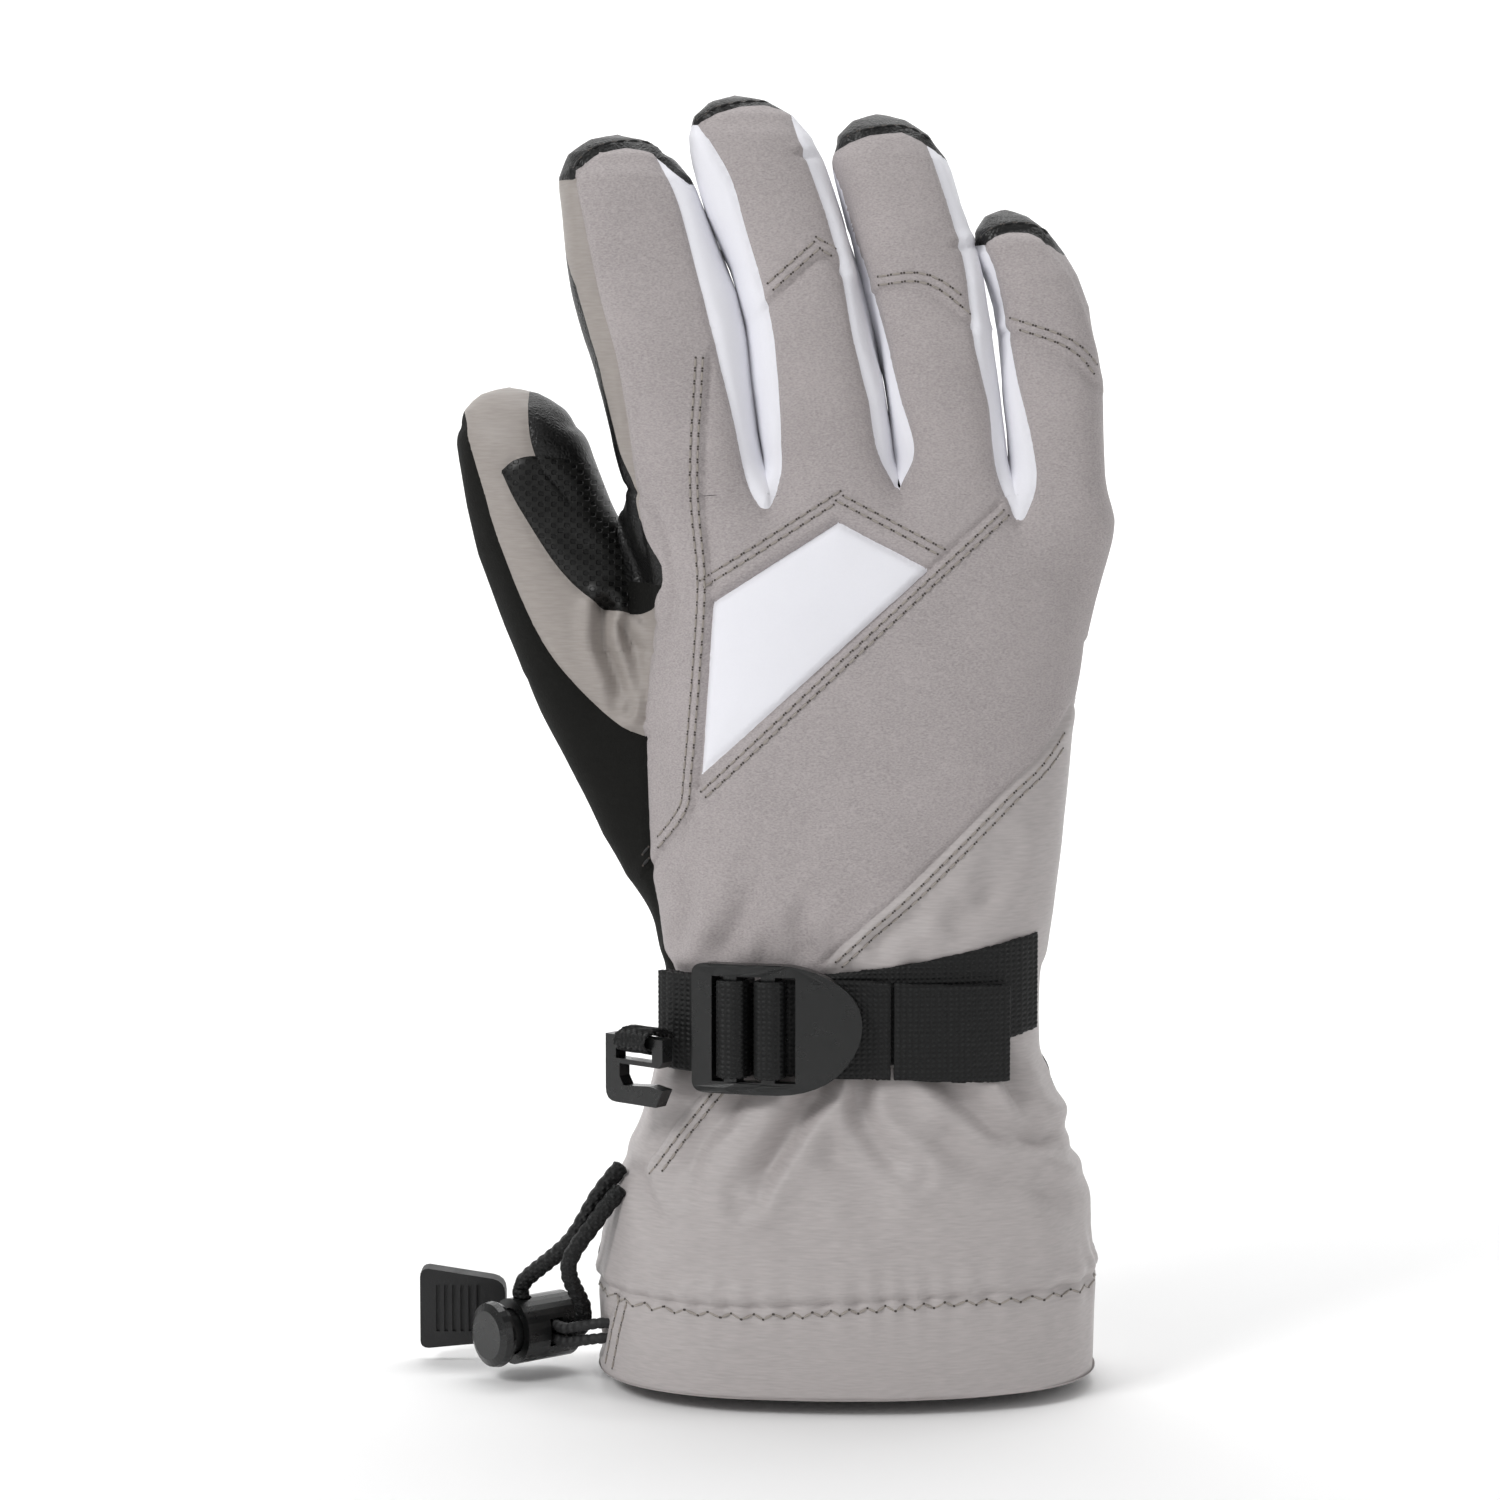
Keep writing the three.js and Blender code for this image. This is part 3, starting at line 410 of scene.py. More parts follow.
def body_tube():
    cuff = edges_of(["hem_band", "cuff_back_panel", "cuff_palm_panel"])
    hand = edges_of(["palm_panel", "backhand_panel", "knuckle_panel", "index_side_panel"])
    rows = [station(cuff, z) for z in np.linspace(0.5, HEM_TOP - 1, 3)]
    rows += [station(cuff, z) for z in np.linspace(HEM_TOP + 3, CUFF_TOP - 1, 11)]
    rows += [station(hand, z) for z in (THUMB_SPLIT + 12, THUMB_SPLIT + 20, KNUCKLES - 1)]
    last = rows[-1]
    rows.append([SPLIT + 6, last[1], 0, last[3], last[4]])
    return Tube(rows, CUFF_SQUARE)


BODY = body_tube()
THUMB = thumb_tube()
FINGERS = {name: digit_tube(name) for name in DIGITS}
WEBBED = 9  # how far apart two surfaces begin to run into each other
FAR = 50  # the distance given to points that a tube doesn't reach


def merged(a, b, reach=WEBBED):
    """The smooth union of two fields."""
    return np.minimum(a, b) - np.maximum(reach - np.abs(a - b), 0) ** 2 / (4 * reach)


def hand_field(p):
    """The cuff and hand, with a rounded top between the fingers."""
    radius = 13  # of the rounded top
    over = p[:, 2] - (KNUCKLES + 4 - radius)
    across = BODY.field(np.column_stack([p[:, :2], np.minimum(p[:, 2], SPLIT)])) + radius
    inside = np.minimum(np.maximum(across, over), 0)
    return inside + np.hypot(np.maximum(across, 0), np.maximum(over, 0)) - radius


def thumb_field(p):
    low = THUMB.rows[0, 0]
    return np.where(p[:, 2] < low, FAR, THUMB.field(p) + np.maximum(0, low + 16 - p[:, 2]) * 0.3)


def glove_field(p):
    fingers = np.min([tube.field(p) for tube in FINGERS.values()], axis=0)
    fading = 0.4 * np.maximum(KNUCKLES - 3 - p[:, 2], 0)  # the fingers sink into the hand below the knuckles
    hand = merged(hand_field(p), np.where(p[:, 2] < KNUCKLES - 30, FAR, fingers + fading))
    return merged(hand, thumb_field(p))


def digit_field(tube):
    return lambda p: merged(hand_field(p), tube.field(p))


# ---- Surfaces ----
def surface_of(field, low, high, step):
    """The surface where a field is zero, as points and triangles, by surface nets."""
    axes = [np.arange(l, h + step, step) for l, h in zip(low, high)]
    shape = np.array([len(a) for a in axes])
    grid = np.stack(np.meshgrid(*axes, indexing="ij"), -1).reshape(-1, 3)
    value = field(grid).reshape(shape)
    inside = value < 0
    cells = shape - 1
    total = np.zeros([*cells, 3])
    count = np.zeros(cells)
    crossings = []
    for axis in range(3):
        ahead, back = [slice(None)] * 3, [slice(None)] * 3
        ahead[axis], back[axis] = slice(1, None), slice(None, -1)
        i = np.argwhere(inside[tuple(ahead)] != inside[tuple(back)])
        j = i.copy()
        j[:, axis] += 1
        start, end = value[tuple(i.T)], value[tuple(j.T)]
        place = i.astype(float)
        place[:, axis] += start / (start - end)
        sides = [k for k in range(3) if k != axis]
        for corner in ((0, 0), (0, 1), (1, 0), (1, 1)):
            cell = i.copy()
            cell[:, sides] -= corner
            ok = ((cell >= 0) & (cell < cells)).all(1)
            np.add.at(total, tuple(cell[ok].T), place[ok])
            np.add.at(count, tuple(cell[ok].T), 1)
        crossings.append((axis, sides, i, start < end))
    used = count > 0
    number = np.full(cells, -1)
    number[used] = np.arange(used.sum())
    points = total[used] / count[used][:, None] * step + np.array([a[0] for a in axes])
    triangles = []
    for axis, sides, i, outward in crossings:
        whole = ((i[:, sides] > 0) & (i[:, sides] < cells[sides])).all(1)
        i, outward = i[whole], outward[whole]
        corners = []
        for corner in ((0, 0), (1, 0), (1, 1), (0, 1)):
            cell = i.copy()
            cell[:, sides] -= corner
            corners.append(number[tuple(cell.T)])
        quad = np.stack(corners, 1)
        flipped = outward if axis == 1 else ~outward
        quad[flipped] = quad[flipped][:, ::-1]
        triangles += [quad[:, [0, 1, 2]], quad[:, [0, 2, 3]]]
    return points, np.concatenate(triangles)


def gradient(field, p, step=0.4):
    g = np.stack([field(p + s) - field(p - s) for s in np.eye(3) * step], 1) / (2 * step)
    steep = np.linalg.norm(g, axis=1)
    return g / np.maximum(steep, 1e-6)[:, None], steep


def neighbour_mean(p, t):
    total, count = np.zeros_like(p), np.zeros(len(p))
    for a, b in ((0, 1), (1, 2), (2, 0), (1, 0), (2, 1), (0, 2)):
        np.add.at(total, t[:, a], p[t[:, b]])
        np.add.at(count, t[:, a], 1)
    return total / np.maximum(count, 1)[:, None]


def relaxed(field, p, t, rounds=3):
    """Points spread evenly over the surface and brought onto it."""
    for _ in range(rounds):
        n, _ = gradient(field, p)
        shift = neighbour_mean(p, t) - p
        p = p + 0.6 * (shift - (shift * n).sum(1)[:, None] * n)
        n, steep = gradient(field, p)
        p = p - n * np.clip(field(p) / np.maximum(steep, 0.3), -1, 1)[:, None]
    return p


def cut_along(p, t, line):
    """Triangles split where the function line is zero, so that none lies on both sides."""
    s = line(p)
    s[np.abs(s) < 0.08] = 0
    side = np.sign(s).astype(int)
    corner = side[t]
    crossed = (corner.min(1) < 0) & (corner.max(1) > 0)
    keep, t, corner = t[~crossed], t[crossed], corner[crossed]
    # each triangle is turned so that its first corner is on the line, or alone on its side
    on_line = (corner == 0).any(1)
    alone = np.argmax(corner == -np.sign(corner.sum(1))[:, None], axis=1)
    first = np.where(on_line, np.argmax(corner == 0, axis=1), alone)
    t = np.take_along_axis(t, (first[:, None] + np.arange(3)) % 3, 1)
    x, y = t[on_line], t[~on_line]
    pairs = np.concatenate([x[:, [1, 2]], y[:, [0, 1]], y[:, [0, 2]]])
    if not len(pairs):
        return p, keep
    ends, index = np.unique(np.sort(pairs, axis=1), axis=0, return_inverse=True)
    index = index.reshape(-1) + len(p)
    share = s[ends[:, 0]] / (s[ends[:, 0]] - s[ends[:, 1]])
    p = np.concatenate([p, p[ends[:, 0]] + (p[ends[:, 1]] - p[ends[:, 0]]) * share[:, None]])
    m, k, j = np.split(index, [len(x), len(x) + len(y)])
    made = [(x[:, 0], x[:, 1], m), (x[:, 0], m, x[:, 2])]
    made += [(y[:, 0], k, j), (k, y[:, 1], y[:, 2]), (k, y[:, 2], j)]
    return p, np.concatenate([keep] + [np.stack(corners, 1) for corners in made])


def vertex_normals(p, t):
    face = np.cross(p[t[:, 1]] - p[t[:, 0]], p[t[:, 2]] - p[t[:, 0]])
    n = np.zeros_like(p)
    for k in range(3):
        np.add.at(n, t[:, k], face)
    return n / np.maximum(np.linalg.norm(n, axis=1), 1e-9)[:, None]


def panelled(p, t, regions):
    """Triangles cut along the edges of named regions, and the name of the first region that each lies in."""
    for _, test in regions:
        p, t = cut_along(p, t, test)
    middle = p[t].mean(1)
    names = np.full(len(t), "", dtype="U40")
    for name, test in regions:
        names[(names == "") & (test(middle) < 0)] = name
    return p, t, names


# ---- Materials ----
def linear(red, green, blue):
    """Screen colour, 0 to 255, to the linear values that shaders use."""
    return tuple(((c / 255 + 0.055) / 1.055) ** 2.4 for c in (red, green, blue)) + (1,)


class Finish:
    """A node material under construction, with short names for the nodes that the finishes share."""

    def __init__(self, name, colour, roughness):
        self.material = bpy.data.materials.new(name)
        self.material.use_nodes = True
        self.tree = self.material.node_tree
        self.shader = self.tree.nodes["Principled BSDF"]
        self.colour = linear(*colour)
        self.shader.inputs["Base Color"].default_value = self.colour
        self.shader.inputs["Roughness"].default_value = roughness
        self.place = self.add("ShaderNodeTexCoord").outputs["Object"]

    def add(self, kind, inputs=(), **settings):
        node = self.tree.nodes.new(kind)
        for key, value in settings.items():
            setattr(node, key, value)
        for key, value in dict(inputs).items():
            if isinstance(value, bpy.types.NodeSocket):
                self.tree.links.new(value, node.inputs[key])
            else:
                node.inputs[key].default_value = value
        return node

    def math(self, operation, a, b=0.0, c=0.0):
        return self.add("ShaderNodeMath", {0: a, 1: b, 2: c}, operation=operation).outputs[0]

    def blend(self, a, share_a, b, share_b):
        """The weighted sum of two patterns."""
        return self.math("ADD", self.math("MULTIPLY", a, share_a), self.math("MULTIPLY", b, share_b))

    def noise(self, size, detail=2, stretch=(1, 1, 1)):
        """Noise whose features are about size millimetres across."""
        place = self.add("ShaderNodeMapping", {"Vector": self.place, "Scale": stretch}).outputs[0]
        inputs = {"Vector": place, "Scale": 1 / (size * MM), "Detail": detail}
        return self.add("ShaderNodeTexNoise", inputs).outputs[0]

    def ribs(self, period, axis, waver=0.6):
        """Waves from 0 to 1 across an axis, period millimetres apart."""
        scale = math.tau / 20 / (period * MM)  # the node's own waves are a twentieth of a turn apart
        inputs = {"Vector": self.place, "Scale": scale, "Distortion": waver, "Detail Scale": 1.5}
        return self.add("ShaderNodeTexWave", inputs, bands_direction=axis).outputs["Fac"]

    def tint(self, factor, dark, light):
        """The base colour, from dark to light times itself as the factor goes from 0 to 1."""
        scale = self.add("ShaderNodeMapRange", {0: factor, 3: dark, 4: light}).outputs[0]
        inputs = {0: 1.0, 6: self.colour, 7: scale}
        mix = self.add("ShaderNodeMix", inputs, data_type="RGBA", blend_type="MULTIPLY")
        self.tree.links.new(mix.outputs[2], self.shader.inputs["Base Color"])

    def bump(self, height, depth):
        """Relief of depth millimetres."""
        node = self.add("ShaderNodeBump", {"Height": height, "Distance": depth * MM, "Strength": 1.0})
        self.tree.links.new(node.outputs[0], self.shader.inputs["Normal"])

    def roughness(self, factor, low, high):
        scale = self.add("ShaderNodeMapRange", {0: factor, 3: low, 4: high}).outputs[0]
        self.tree.links.new(scale, self.shader.inputs["Roughness"])

    def dull(self, level):
        """Less of the mirror-like reflection that all surfaces have."""
        self.shader.inputs["Specular IOR Level"].default_value = level

    def sheen(self, weight, roughness=0.5):
        self.shader.inputs["Sheen Weight"].default_value = weight
        self.shader.inputs["Sheen Roughness"].default_value = roughness


def knit(name, colour):
    """A close stretch knit: fine level rows of small loops, over slow changes of tone."""
    f = Finish(name, colour, 0.82)
    loops = f.noise(0.6, 2, (1, 1, 1.9))
    f.tint(f.blend(loops, 1.25, f.noise(16), 0.3), 0.52, 1.2)
    f.bump(loops, 0.14)
    f.sheen(0.12)
    return f.material


def woven(name, colour, depth=0.05):
    """A smooth woven shell with fine, broken level ribs and a faint sheen."""
    f = Finish(name, colour, 0.55)
    ribs = f.noise(0.42, 1, (0.12, 0.12, 1))
    f.tint(f.blend(ribs, 0.9, f.noise(18), 0.2), 0.8, 1.13)
    f.bump(ribs, depth)
    f.sheen(0.15, 0.35)
    return f.material


def smooth_cloth(name, colour, roughness=0.7):
    """Fine four-way stretch cloth with no visible weave, only a light grain."""
    f = Finish(name, colour, roughness)
    grain = f.noise(0.5, 3)
    f.tint(f.blend(grain, 0.4, f.noise(20), 0.6), 0.96, 1.03)
    f.bump(grain, 0.04)
    f.sheen(0.2)
    return f.material


def brushed(name, colour):
    """Matte palm cloth with a short nap."""
    f = Finish(name, colour, 0.9)
    nap = f.noise(0.55, 4)
    f.tint(f.blend(nap, 0.8, f.noise(9), 0.4), 0.5, 1.5)
    f.bump(nap, 0.16)
    f.dull(0.25)
    return f.material


def leather(name, colour):
    """Goat leather: a pebbled grain, its tops painted lighter as a painted highlight and its grooves darker
    as painted shade.
    """
    f = Finish(name, colour, 0.45)
    pebbles = {"Vector": f.place, "Scale": 1 / (1.1 * MM)}
    cells = f.add("ShaderNodeTexVoronoi", pebbles, feature="DISTANCE_TO_EDGE")
    grain = f.blend(cells.outputs["Distance"], 1.2, f.noise(0.5, 3), 0.35)
    # painted highlight on the pebble tops and painted shade in the grooves between them
    f.tint(grain, 0.6, 1.5)
    f.roughness(f.noise(2.5), 0.32, 0.52)
    f.bump(grain, 0.22)
    f.dull(0.4)
    return f.material


def mesh_cloth(name, colour):
    """Coarse spacer mesh: a staggered field of small oval holes between glossy strands, with painted shade in
    the holes.
    """
    f = Finish(name, colour, 0.42)
    across = f.math("SUBTRACT", f.ribs(2.9, "X", 0.1), 0.5)
    up = f.math("SUBTRACT", f.ribs(2.4, "Z", 0.1), 0.5)
    lattice = f.math("MULTIPLY", across, up)
    edge = {0: lattice, 1: 0.03, 2: 0.1, 3: 1.0, 4: 0.0}
    strand = f.add("ShaderNodeMapRange", edge, interpolation_type="SMOOTHSTEP").outputs[0]
    # painted shade: the holes are tinted near black and the strands lighter
    f.tint(strand, 0.1, 1.3)
    f.bump(strand, 0.9)
    f.dull(0.35)
    return f.material


def tape(name, colour):
    """Webbing yarn: rows of small beads, each a thread that crosses over the next. The bead tops are painted
    lighter, a painted highlight, and the gaps between them darker, painted shade.
    """
    f = Finish(name, colour, 0.55)
    beads = f.math("MULTIPLY", f.ribs(1.3, "X", 0.2), f.ribs(1.15, "Z", 0.2))
    bead_relief_and_highlight = f.math("MULTIPLY", beads, f.math("ADD", f.noise(0.5, 2), 0.5))
    # painted highlight on the bead tops and painted shade in the gaps between them
    f.tint(bead_relief_and_highlight, 0.35, 3.4)
    f.bump(bead_relief_and_highlight, 0.3)
    f.dull(0.35)
    return f.material


def moulded(name, colour, roughness=0.36):
    """Moulded plastic with a fine spark texture and faint handling wear."""
    f = Finish(name, colour, roughness)
    wear = f.noise(3.5, 4)
    f.tint(wear, 0.8, 1.25)
    f.roughness(wear, roughness - 0.07, roughness + 0.16)
    f.bump(f.noise(0.35, 2), 0.03)
    return f.material


def pile(name, colour):
    """Fleece, in clumps."""
    f = Finish(name, colour, 0.95)
    clumps = f.math("ADD", f.noise(2.4, 3), f.noise(0.7, 2))
    f.tint(clumps, 0.5, 1.1)
    f.bump(clumps, 0.9)
    f.sheen(0.3)
    return f.material


def metal(name, colour):
    f = Finish(name, colour, 0.3)
    f.shader.inputs["Metallic"].default_value = 1.0
    f.roughness(f.noise(1.2, 3), 0.22, 0.42)
    f.bump(f.noise(0.4, 2), 0.02)
    return f.material


SOFTSHELL = knit("softshell", (163, 156, 156))
NYLON = woven("nylon", (176, 170, 169))
SIDE_NYLON = woven("side_nylon", (156, 149, 144), 0.03)
WHITE = smooth_cloth("white_fabric", (236, 236, 242))
BLACK_FABRIC = brushed("black_fabric", (16, 16, 14))
GRIP = mesh_cloth("grip_mesh", (17, 17, 16))
LEATHER = leather("black_leather", (13, 13, 13))
WEBBING = tape("webbing", (11, 12, 12))
PLASTIC = moulded("black_plastic", (16, 17, 17), 0.25)
RUBBER = moulded("rubber", (22, 22, 23), 0.55)
LINING = pile("lining", (92, 92, 94))
STEEL = metal("steel", (190, 190, 192))
THREAD = smooth_cloth("grey_thread", (150, 143, 136), 0.6)
BLACK_THREAD = smooth_cloth("black_thread", (30, 30, 30), 0.6)
# the needle holes' colour is painted shade, the dark inside the holes
NEEDLE_HOLE_SHADE = smooth_cloth("needle_hole", (70, 64, 60), 0.9)


# ---- Meshes ----
def placed(name, data):
    """A new object in the scene."""
    obj = bpy.data.objects.new(name, data)
    bpy.context.scene.collection.objects.link(obj)
    return obj


def smooth_shaded(mesh):
    mesh.polygons.foreach_set("use_smooth", np.ones(len(mesh.polygons), bool))


def new_mesh(name, points, faces, material, others=(), index=None, normals=None):
    """A mesh object from points in millimetres. index picks a material for each face: 0 for the first."""
    mesh = bpy.data.meshes.new(name)
    mesh.from_pydata((np.asarray(points) * MM).tolist(), [], [[int(k) for k in face] for face in faces])
    for layer in (material, *others):
        mesh.materials.append(layer)
    if index is not None:
        mesh.polygons.foreach_set("material_index", index)
    smooth_shaded(mesh)
    if normals is not None:
        mesh.normals_split_custom_set_from_vertices(normals.tolist())
    return placed(name, mesh)


def grid_faces(rows, columns, closed):
    """Quads between rows of points, round in a ring if closed."""
    i, j = np.meshgrid(np.arange(rows - 1), np.arange(columns if closed else columns - 1), indexing="ij")
    i, j = i.ravel(), j.ravel()
    k = (j + 1) % columns
    return np.stack([i * columns + j, i * columns + k, (i + 1) * columns + k, (i + 1) * columns + j], 1)


# ---- Relief of the skin ----
def bell(distance, width):
    return np.exp(-((distance / width) ** 2))


def ripple(p, size, seed):
    """Gentle bumps about size millimetres across, from -1 to 1, the same on every run."""
    rng = np.random.default_rng(seed)
    waves = rng.normal(size=(7, 3))
    waves *= (math.tau / size / 2 * rng.uniform(0.7, 1.4, 7) / np.linalg.norm(waves, axis=1))[:, None]
    return np.sin(p @ waves.T + rng.uniform(0, math.tau, 7)).sum(1) / 7 ** 0.5 / 1.6


# line, and how far to its left the folded edge of the upper layer stands: 0 for a plain seam
BACK_SEAMS = [
    (smooth(DIAGONAL), 1.0), (smooth(LOW_DIAGONAL), 1.0), (smooth(STRIP), -1.0), (CHEVRON[:3], 1.0),
    (CHEVRON + CHEVRON[:1], 0.0), (smooth(SIDE), 1.0), (smooth(HAND_EDGE), 0.0), (smooth(THUMB_BLACK), 0.0),
    (smooth(CROTCH_SEAM), 0.0), (CUFF_SEAM, 1.0), (HEM_SIDE, 1.0), (smooth(THUMB_LEATHER), 0.0),
    (smooth(GRIP_PATCH + GRIP_PATCH[:1]), 0.0),
]
BACK_SEAMS += [(smooth(edge), 0.0) for name in DIGITS for edge in EDGES[name] if edge is not SIDE]
BACK_SEAMS += [(smooth(line), 1.0) for line in list(CAPS.values()) + list(FINGER_SEAMS.values())]

# soft creases: line, depth, width
FOLDS = [
    ([(-39.5, 175), (-39.6, 167), (-36.6, 159), (-35, 152)], 3.2, 2.1),
    ([(-35, 170), (-32.6, 162), (-31.5, 152)], 1.4, 2.2),
    ([(-48, 192), (-44, 188), (-39, 186.5)], 0.7, 2),
    ([(12, 76), (10.3, 70.7), (3.5, 61), (-2.6, 52), (-7, 45)], 3.4, 3.2),
    ([(18.8, 76), (18.2, 64.5), (21.6, 57.5), (30, 50)], 2.6, 3),
    ([(33, 76), (36.4, 70.3), (43, 64), (51, 58), (67, 53)], 3.2, 3.2),
    ([(50, 76), (53.7, 64.5), (59, 57)], 1.8, 2.6),
    ([(-6, 76), (-9, 66), (-17, 56), (-21, 46)], 2, 2.8),
    ([(13.5, 54.5), (21.6, 49.5), (20.3, 42.5)], 1.5, 4.2),
    ([(37.7, 57.5), (48.4, 51), (64.4, 46.3)], 1.8, 4.4),
    ([(-31, 47), (-26, 34.5)], 1.6, 3),
    ([(-8, 40), (4, 35), (12, 34)], 0.9, 4),
    ([(60, 44), (66, 36), (70, 30)], 1.2, 3.5),
    ([(40, 106), (46, 112), (50, 121)], 1.7, 3.6),
    ([(22, 101), (28, 106), (37, 110)], 1.4, 3),
    ([(-12, 100), (-8, 107), (-6, 117)], 1.6, 3.2),
    ([(-22, 100), (-20, 108), (-21, 118)], 1.2, 2.6),
    ([(6, 100), (5, 106), (8, 112)], 1.1, 2.6),
    ([(-31, 243), (-24, 240), (-17, 239)], 0.35, 3),
    ([(3, 226), (10, 224), (17, 225)], 0.4, 3),
    ([(31, 226), (38, 223), (44, 224)], 0.4, 3),
]


SEAM = {"depth": 0.6, "width": 0.75}
LIP = {"height": 0.38, "off": 1.7, "width": 1.3}  # the folded edge beside a seam
PUFF = {"height": 0.8, "reach": 5}  # the rise of a padded panel away from its seams


def nowhere_near(line, p, reach=12):
    """Whether a line passes none of the points."""
    q = p[:, [0, 2]]
    return (line.max(0) < q.min(0) - reach).any() or (line.min(0) > q.max(0) + reach).any()


def relief(p):
    """How far the skin stands out from the smooth tubes, in millimetres."""
    back = np.clip((5 - p[:, 1]) / 6, 0, 1)
    nearest = np.full(len(p), 40.0)
    height = np.zeros(len(p))
    for line, lip in BACK_SEAMS:
        line = np.array(line, float)
        if nowhere_near(line, p):
            continue
        s = to_line(p, line)
        nearest = np.minimum(nearest, np.abs(s))
        height -= SEAM["depth"] * bell(s, SEAM["width"]) * back
        if lip:
            height += LIP["height"] * bell(s * lip - LIP["off"], LIP["width"]) * back
    for line, depth, width in FOLDS:
        line = np.array(line, float)
        if nowhere_near(line, p):
            continue
        s = to_line(p, smooth(line))
        fade = 1 - bell(np.hypot(*(p[:, [0, 2]] - line[-1]).T), 1.5 * width)
        height += depth * back * fade * (0.55 * bell(np.abs(s) - 1.5 * width, width) - bell(s, width))
    height += back * PUFF["height"] * (1 - np.exp(-nearest / PUFF["reach"])) + (1 - back) * 0.5
    height += 0.28 * ripple(p, 26, 3) + 0.08 * ripple(p, 7, 5)
    return height + wall_relief(p) + palm_relief(p) + cuff_relief(p)


# On the palm's side: the patch that takes the wear, the thumb's pad, and the palm's lines with their depths.
PALM_PATCH = [
    (64, 186), (62, 156), (56, 138), (44, 128), (30, 128), (18, 138), (8, 152), (-8, 164), (-22, 176),
    (-24, 186),
]
ROOT_LINE = [(90, 184), (64, 182), (20, 182), (-24, 180), (-60, 182)]
THUMB_PAD = [
    (-70, 172), (-28, 172), (-27, 158), (-31, 146), (-38, 140), (-46, 146), (-56, 158),
]
PALM_LINES = [
    (PALM_PATCH, 0.8),
    (THUMB_PAD[1:], 0.8),
    ([(-24, 168), (-12, 150), (-4, 138), (2, 122), (2, 108)], 1.4),
    ([(-18, 178), (8, 172), (34, 174), (58, 182)], 1.2),
    ([(14, 160), (36, 153), (60, 158)], 1),
    ([(30, 108), (36, 118), (46, 124)], 1),
]


def outside_backs(p):
    """How far a point lies beside the backs of all the fingers, in the x-z plane."""
    return either(*[both(left_of(smooth(a)), right_of(smooth(b))) for a, b in EDGES.values()])(p)


def wall_relief(p):
    """The fingers' side walls are loose, so they bulge in long folds."""
    if p[:, 2].max() < KNUCKLES:
        return 0.0
    wall = np.clip(outside_backs(p) / 1.5, 0, 1) * np.clip((p[:, 2] - KNUCKLES + 6) / 8, 0, 1)
    wall *= np.clip((9 - p[:, 1]) / 6, 0, 1)  # not on the palm's side
    return wall * (0.55 * ripple(p * [1, 1, 0.35], 8, 41) + 0.45 * ripple(p * [1, 1, 0.8], 15, 42))


BONE = 21  # the distance between the creases of a finger


def palm_relief(p):
    """Seams and bending creases of the palm's side."""
    palm = np.clip((p[:, 1] - 5) / 4, 0, 1)
    height = np.zeros(len(p))
    for line, depth in PALM_LINES:
        height -= depth * bell(to_line(p, smooth(line)), 0.8 + depth * 0.5)
    # bending creases cross the fingers, one for each of a finger's bones
    across = np.mod(p[:, 2] - KNUCKLES - 8, BONE) - 10
    fingers = np.clip((p[:, 2] - KNUCKLES) / 8, 0, 1)
    height -= 0.7 * fingers * bell(across, 1.8)
    height += 0.6 * ripple(p, 19, 51)
    return palm * height


# depths in millimetres: under the strap, of its gathers, of the hem's puckers and seam, and of slow waves
CUFF = {
    "pressed": 1.5, "gathers": 0.75, "puckers": 0.5, "seam": 0.9, "ridge": 0.6, "waves": 1.3,
    "hem_waves": 0.75,
}


def cuff_relief(p):
    """The cuff is pinched by the strap, gathered below and above it, and puckered at the hem."""
    z = p[:, 2]
    around = np.arctan2(p[:, 1], p[:, 0] - cuff_centre) * cuff_radius
    under_strap = 1 / (1 + np.exp(-(z - STRAP_LOW + 1) / 1.2)) / (1 + np.exp((z - STRAP_HIGH - 1) / 1.2))
    # the gathers die away within a few millimetres of the strap
    gathers = np.sin(around * 0.62 + 1.4 * np.sin(around * 0.17)) * (0.6 + 0.4 * np.sin(around * 0.23 + 1))
    near = np.exp(-np.maximum(STRAP_LOW - z, 0) / 7) * (z < STRAP_LOW)
    near += np.exp(-np.maximum(z - STRAP_HIGH, 0) / 5) * (z > STRAP_HIGH)
    seam = hem_region(p)
    pucker = np.sin(around * 0.85 + 2.1 * np.sin(around * 0.11)) * np.exp(-np.abs(seam) / 5)
    height = -CUFF["pressed"] * under_strap + CUFF["gathers"] * gathers * near * (1 - under_strap)
    height += CUFF["puckers"] * pucker - CUFF["seam"] * bell(seam, 0.8)
    height += CUFF["ridge"] * bell(seam - 2.6, 2) - 0.25 * bell(seam + 2, 1.2)
    lower = np.clip((STRAP_LOW - z) / 12, 0, 1) * np.clip((z - HEM_TOP) / 8, 0, 1)
    height += lower * (CUFF["waves"] * ripple(p, 34, 11) + 0.5 * ripple(p, 14, 12))
    height += CUFF["hem_waves"] * ripple(p * [1, 1, 0.4], 26, 13) * np.clip((HEM_TOP - z) / 4, 0, 1)
    return height


hem_low, hem_high = box_mm("hem_band")
cuff_centre = (hem_low[0] + hem_high[0]) / 2
cuff_radius = (hem_high[0] - hem_low[0]) / 2 * 0.85


# ---- Panels: the first region that holds a point takes it, and a region with no name is only a cut ----
hem_x, hem_z = np.array(HEM_SEAM).T


def hem_region(p):
    return p[:, 2] - np.interp(p[:, 0], hem_x, hem_z)


def everywhere(p):
    return np.full(len(p), -1.0)


# where the palm's material begins on the thumb side: height and depth
THUMB_SIDE_EDGE = [
    (143, -0.6), (147, 6.4), (170, 6.4), (176, -8), (181, -11.5), (192, -11), (200, -9), (214, -7.4),
    (228, -6.2), (247, -3.2), (254, 1), (262, 11),
]


def thumb_side_edge(z):
    return np.interp(z, *np.array(THUMB_SIDE_EDGE).T)


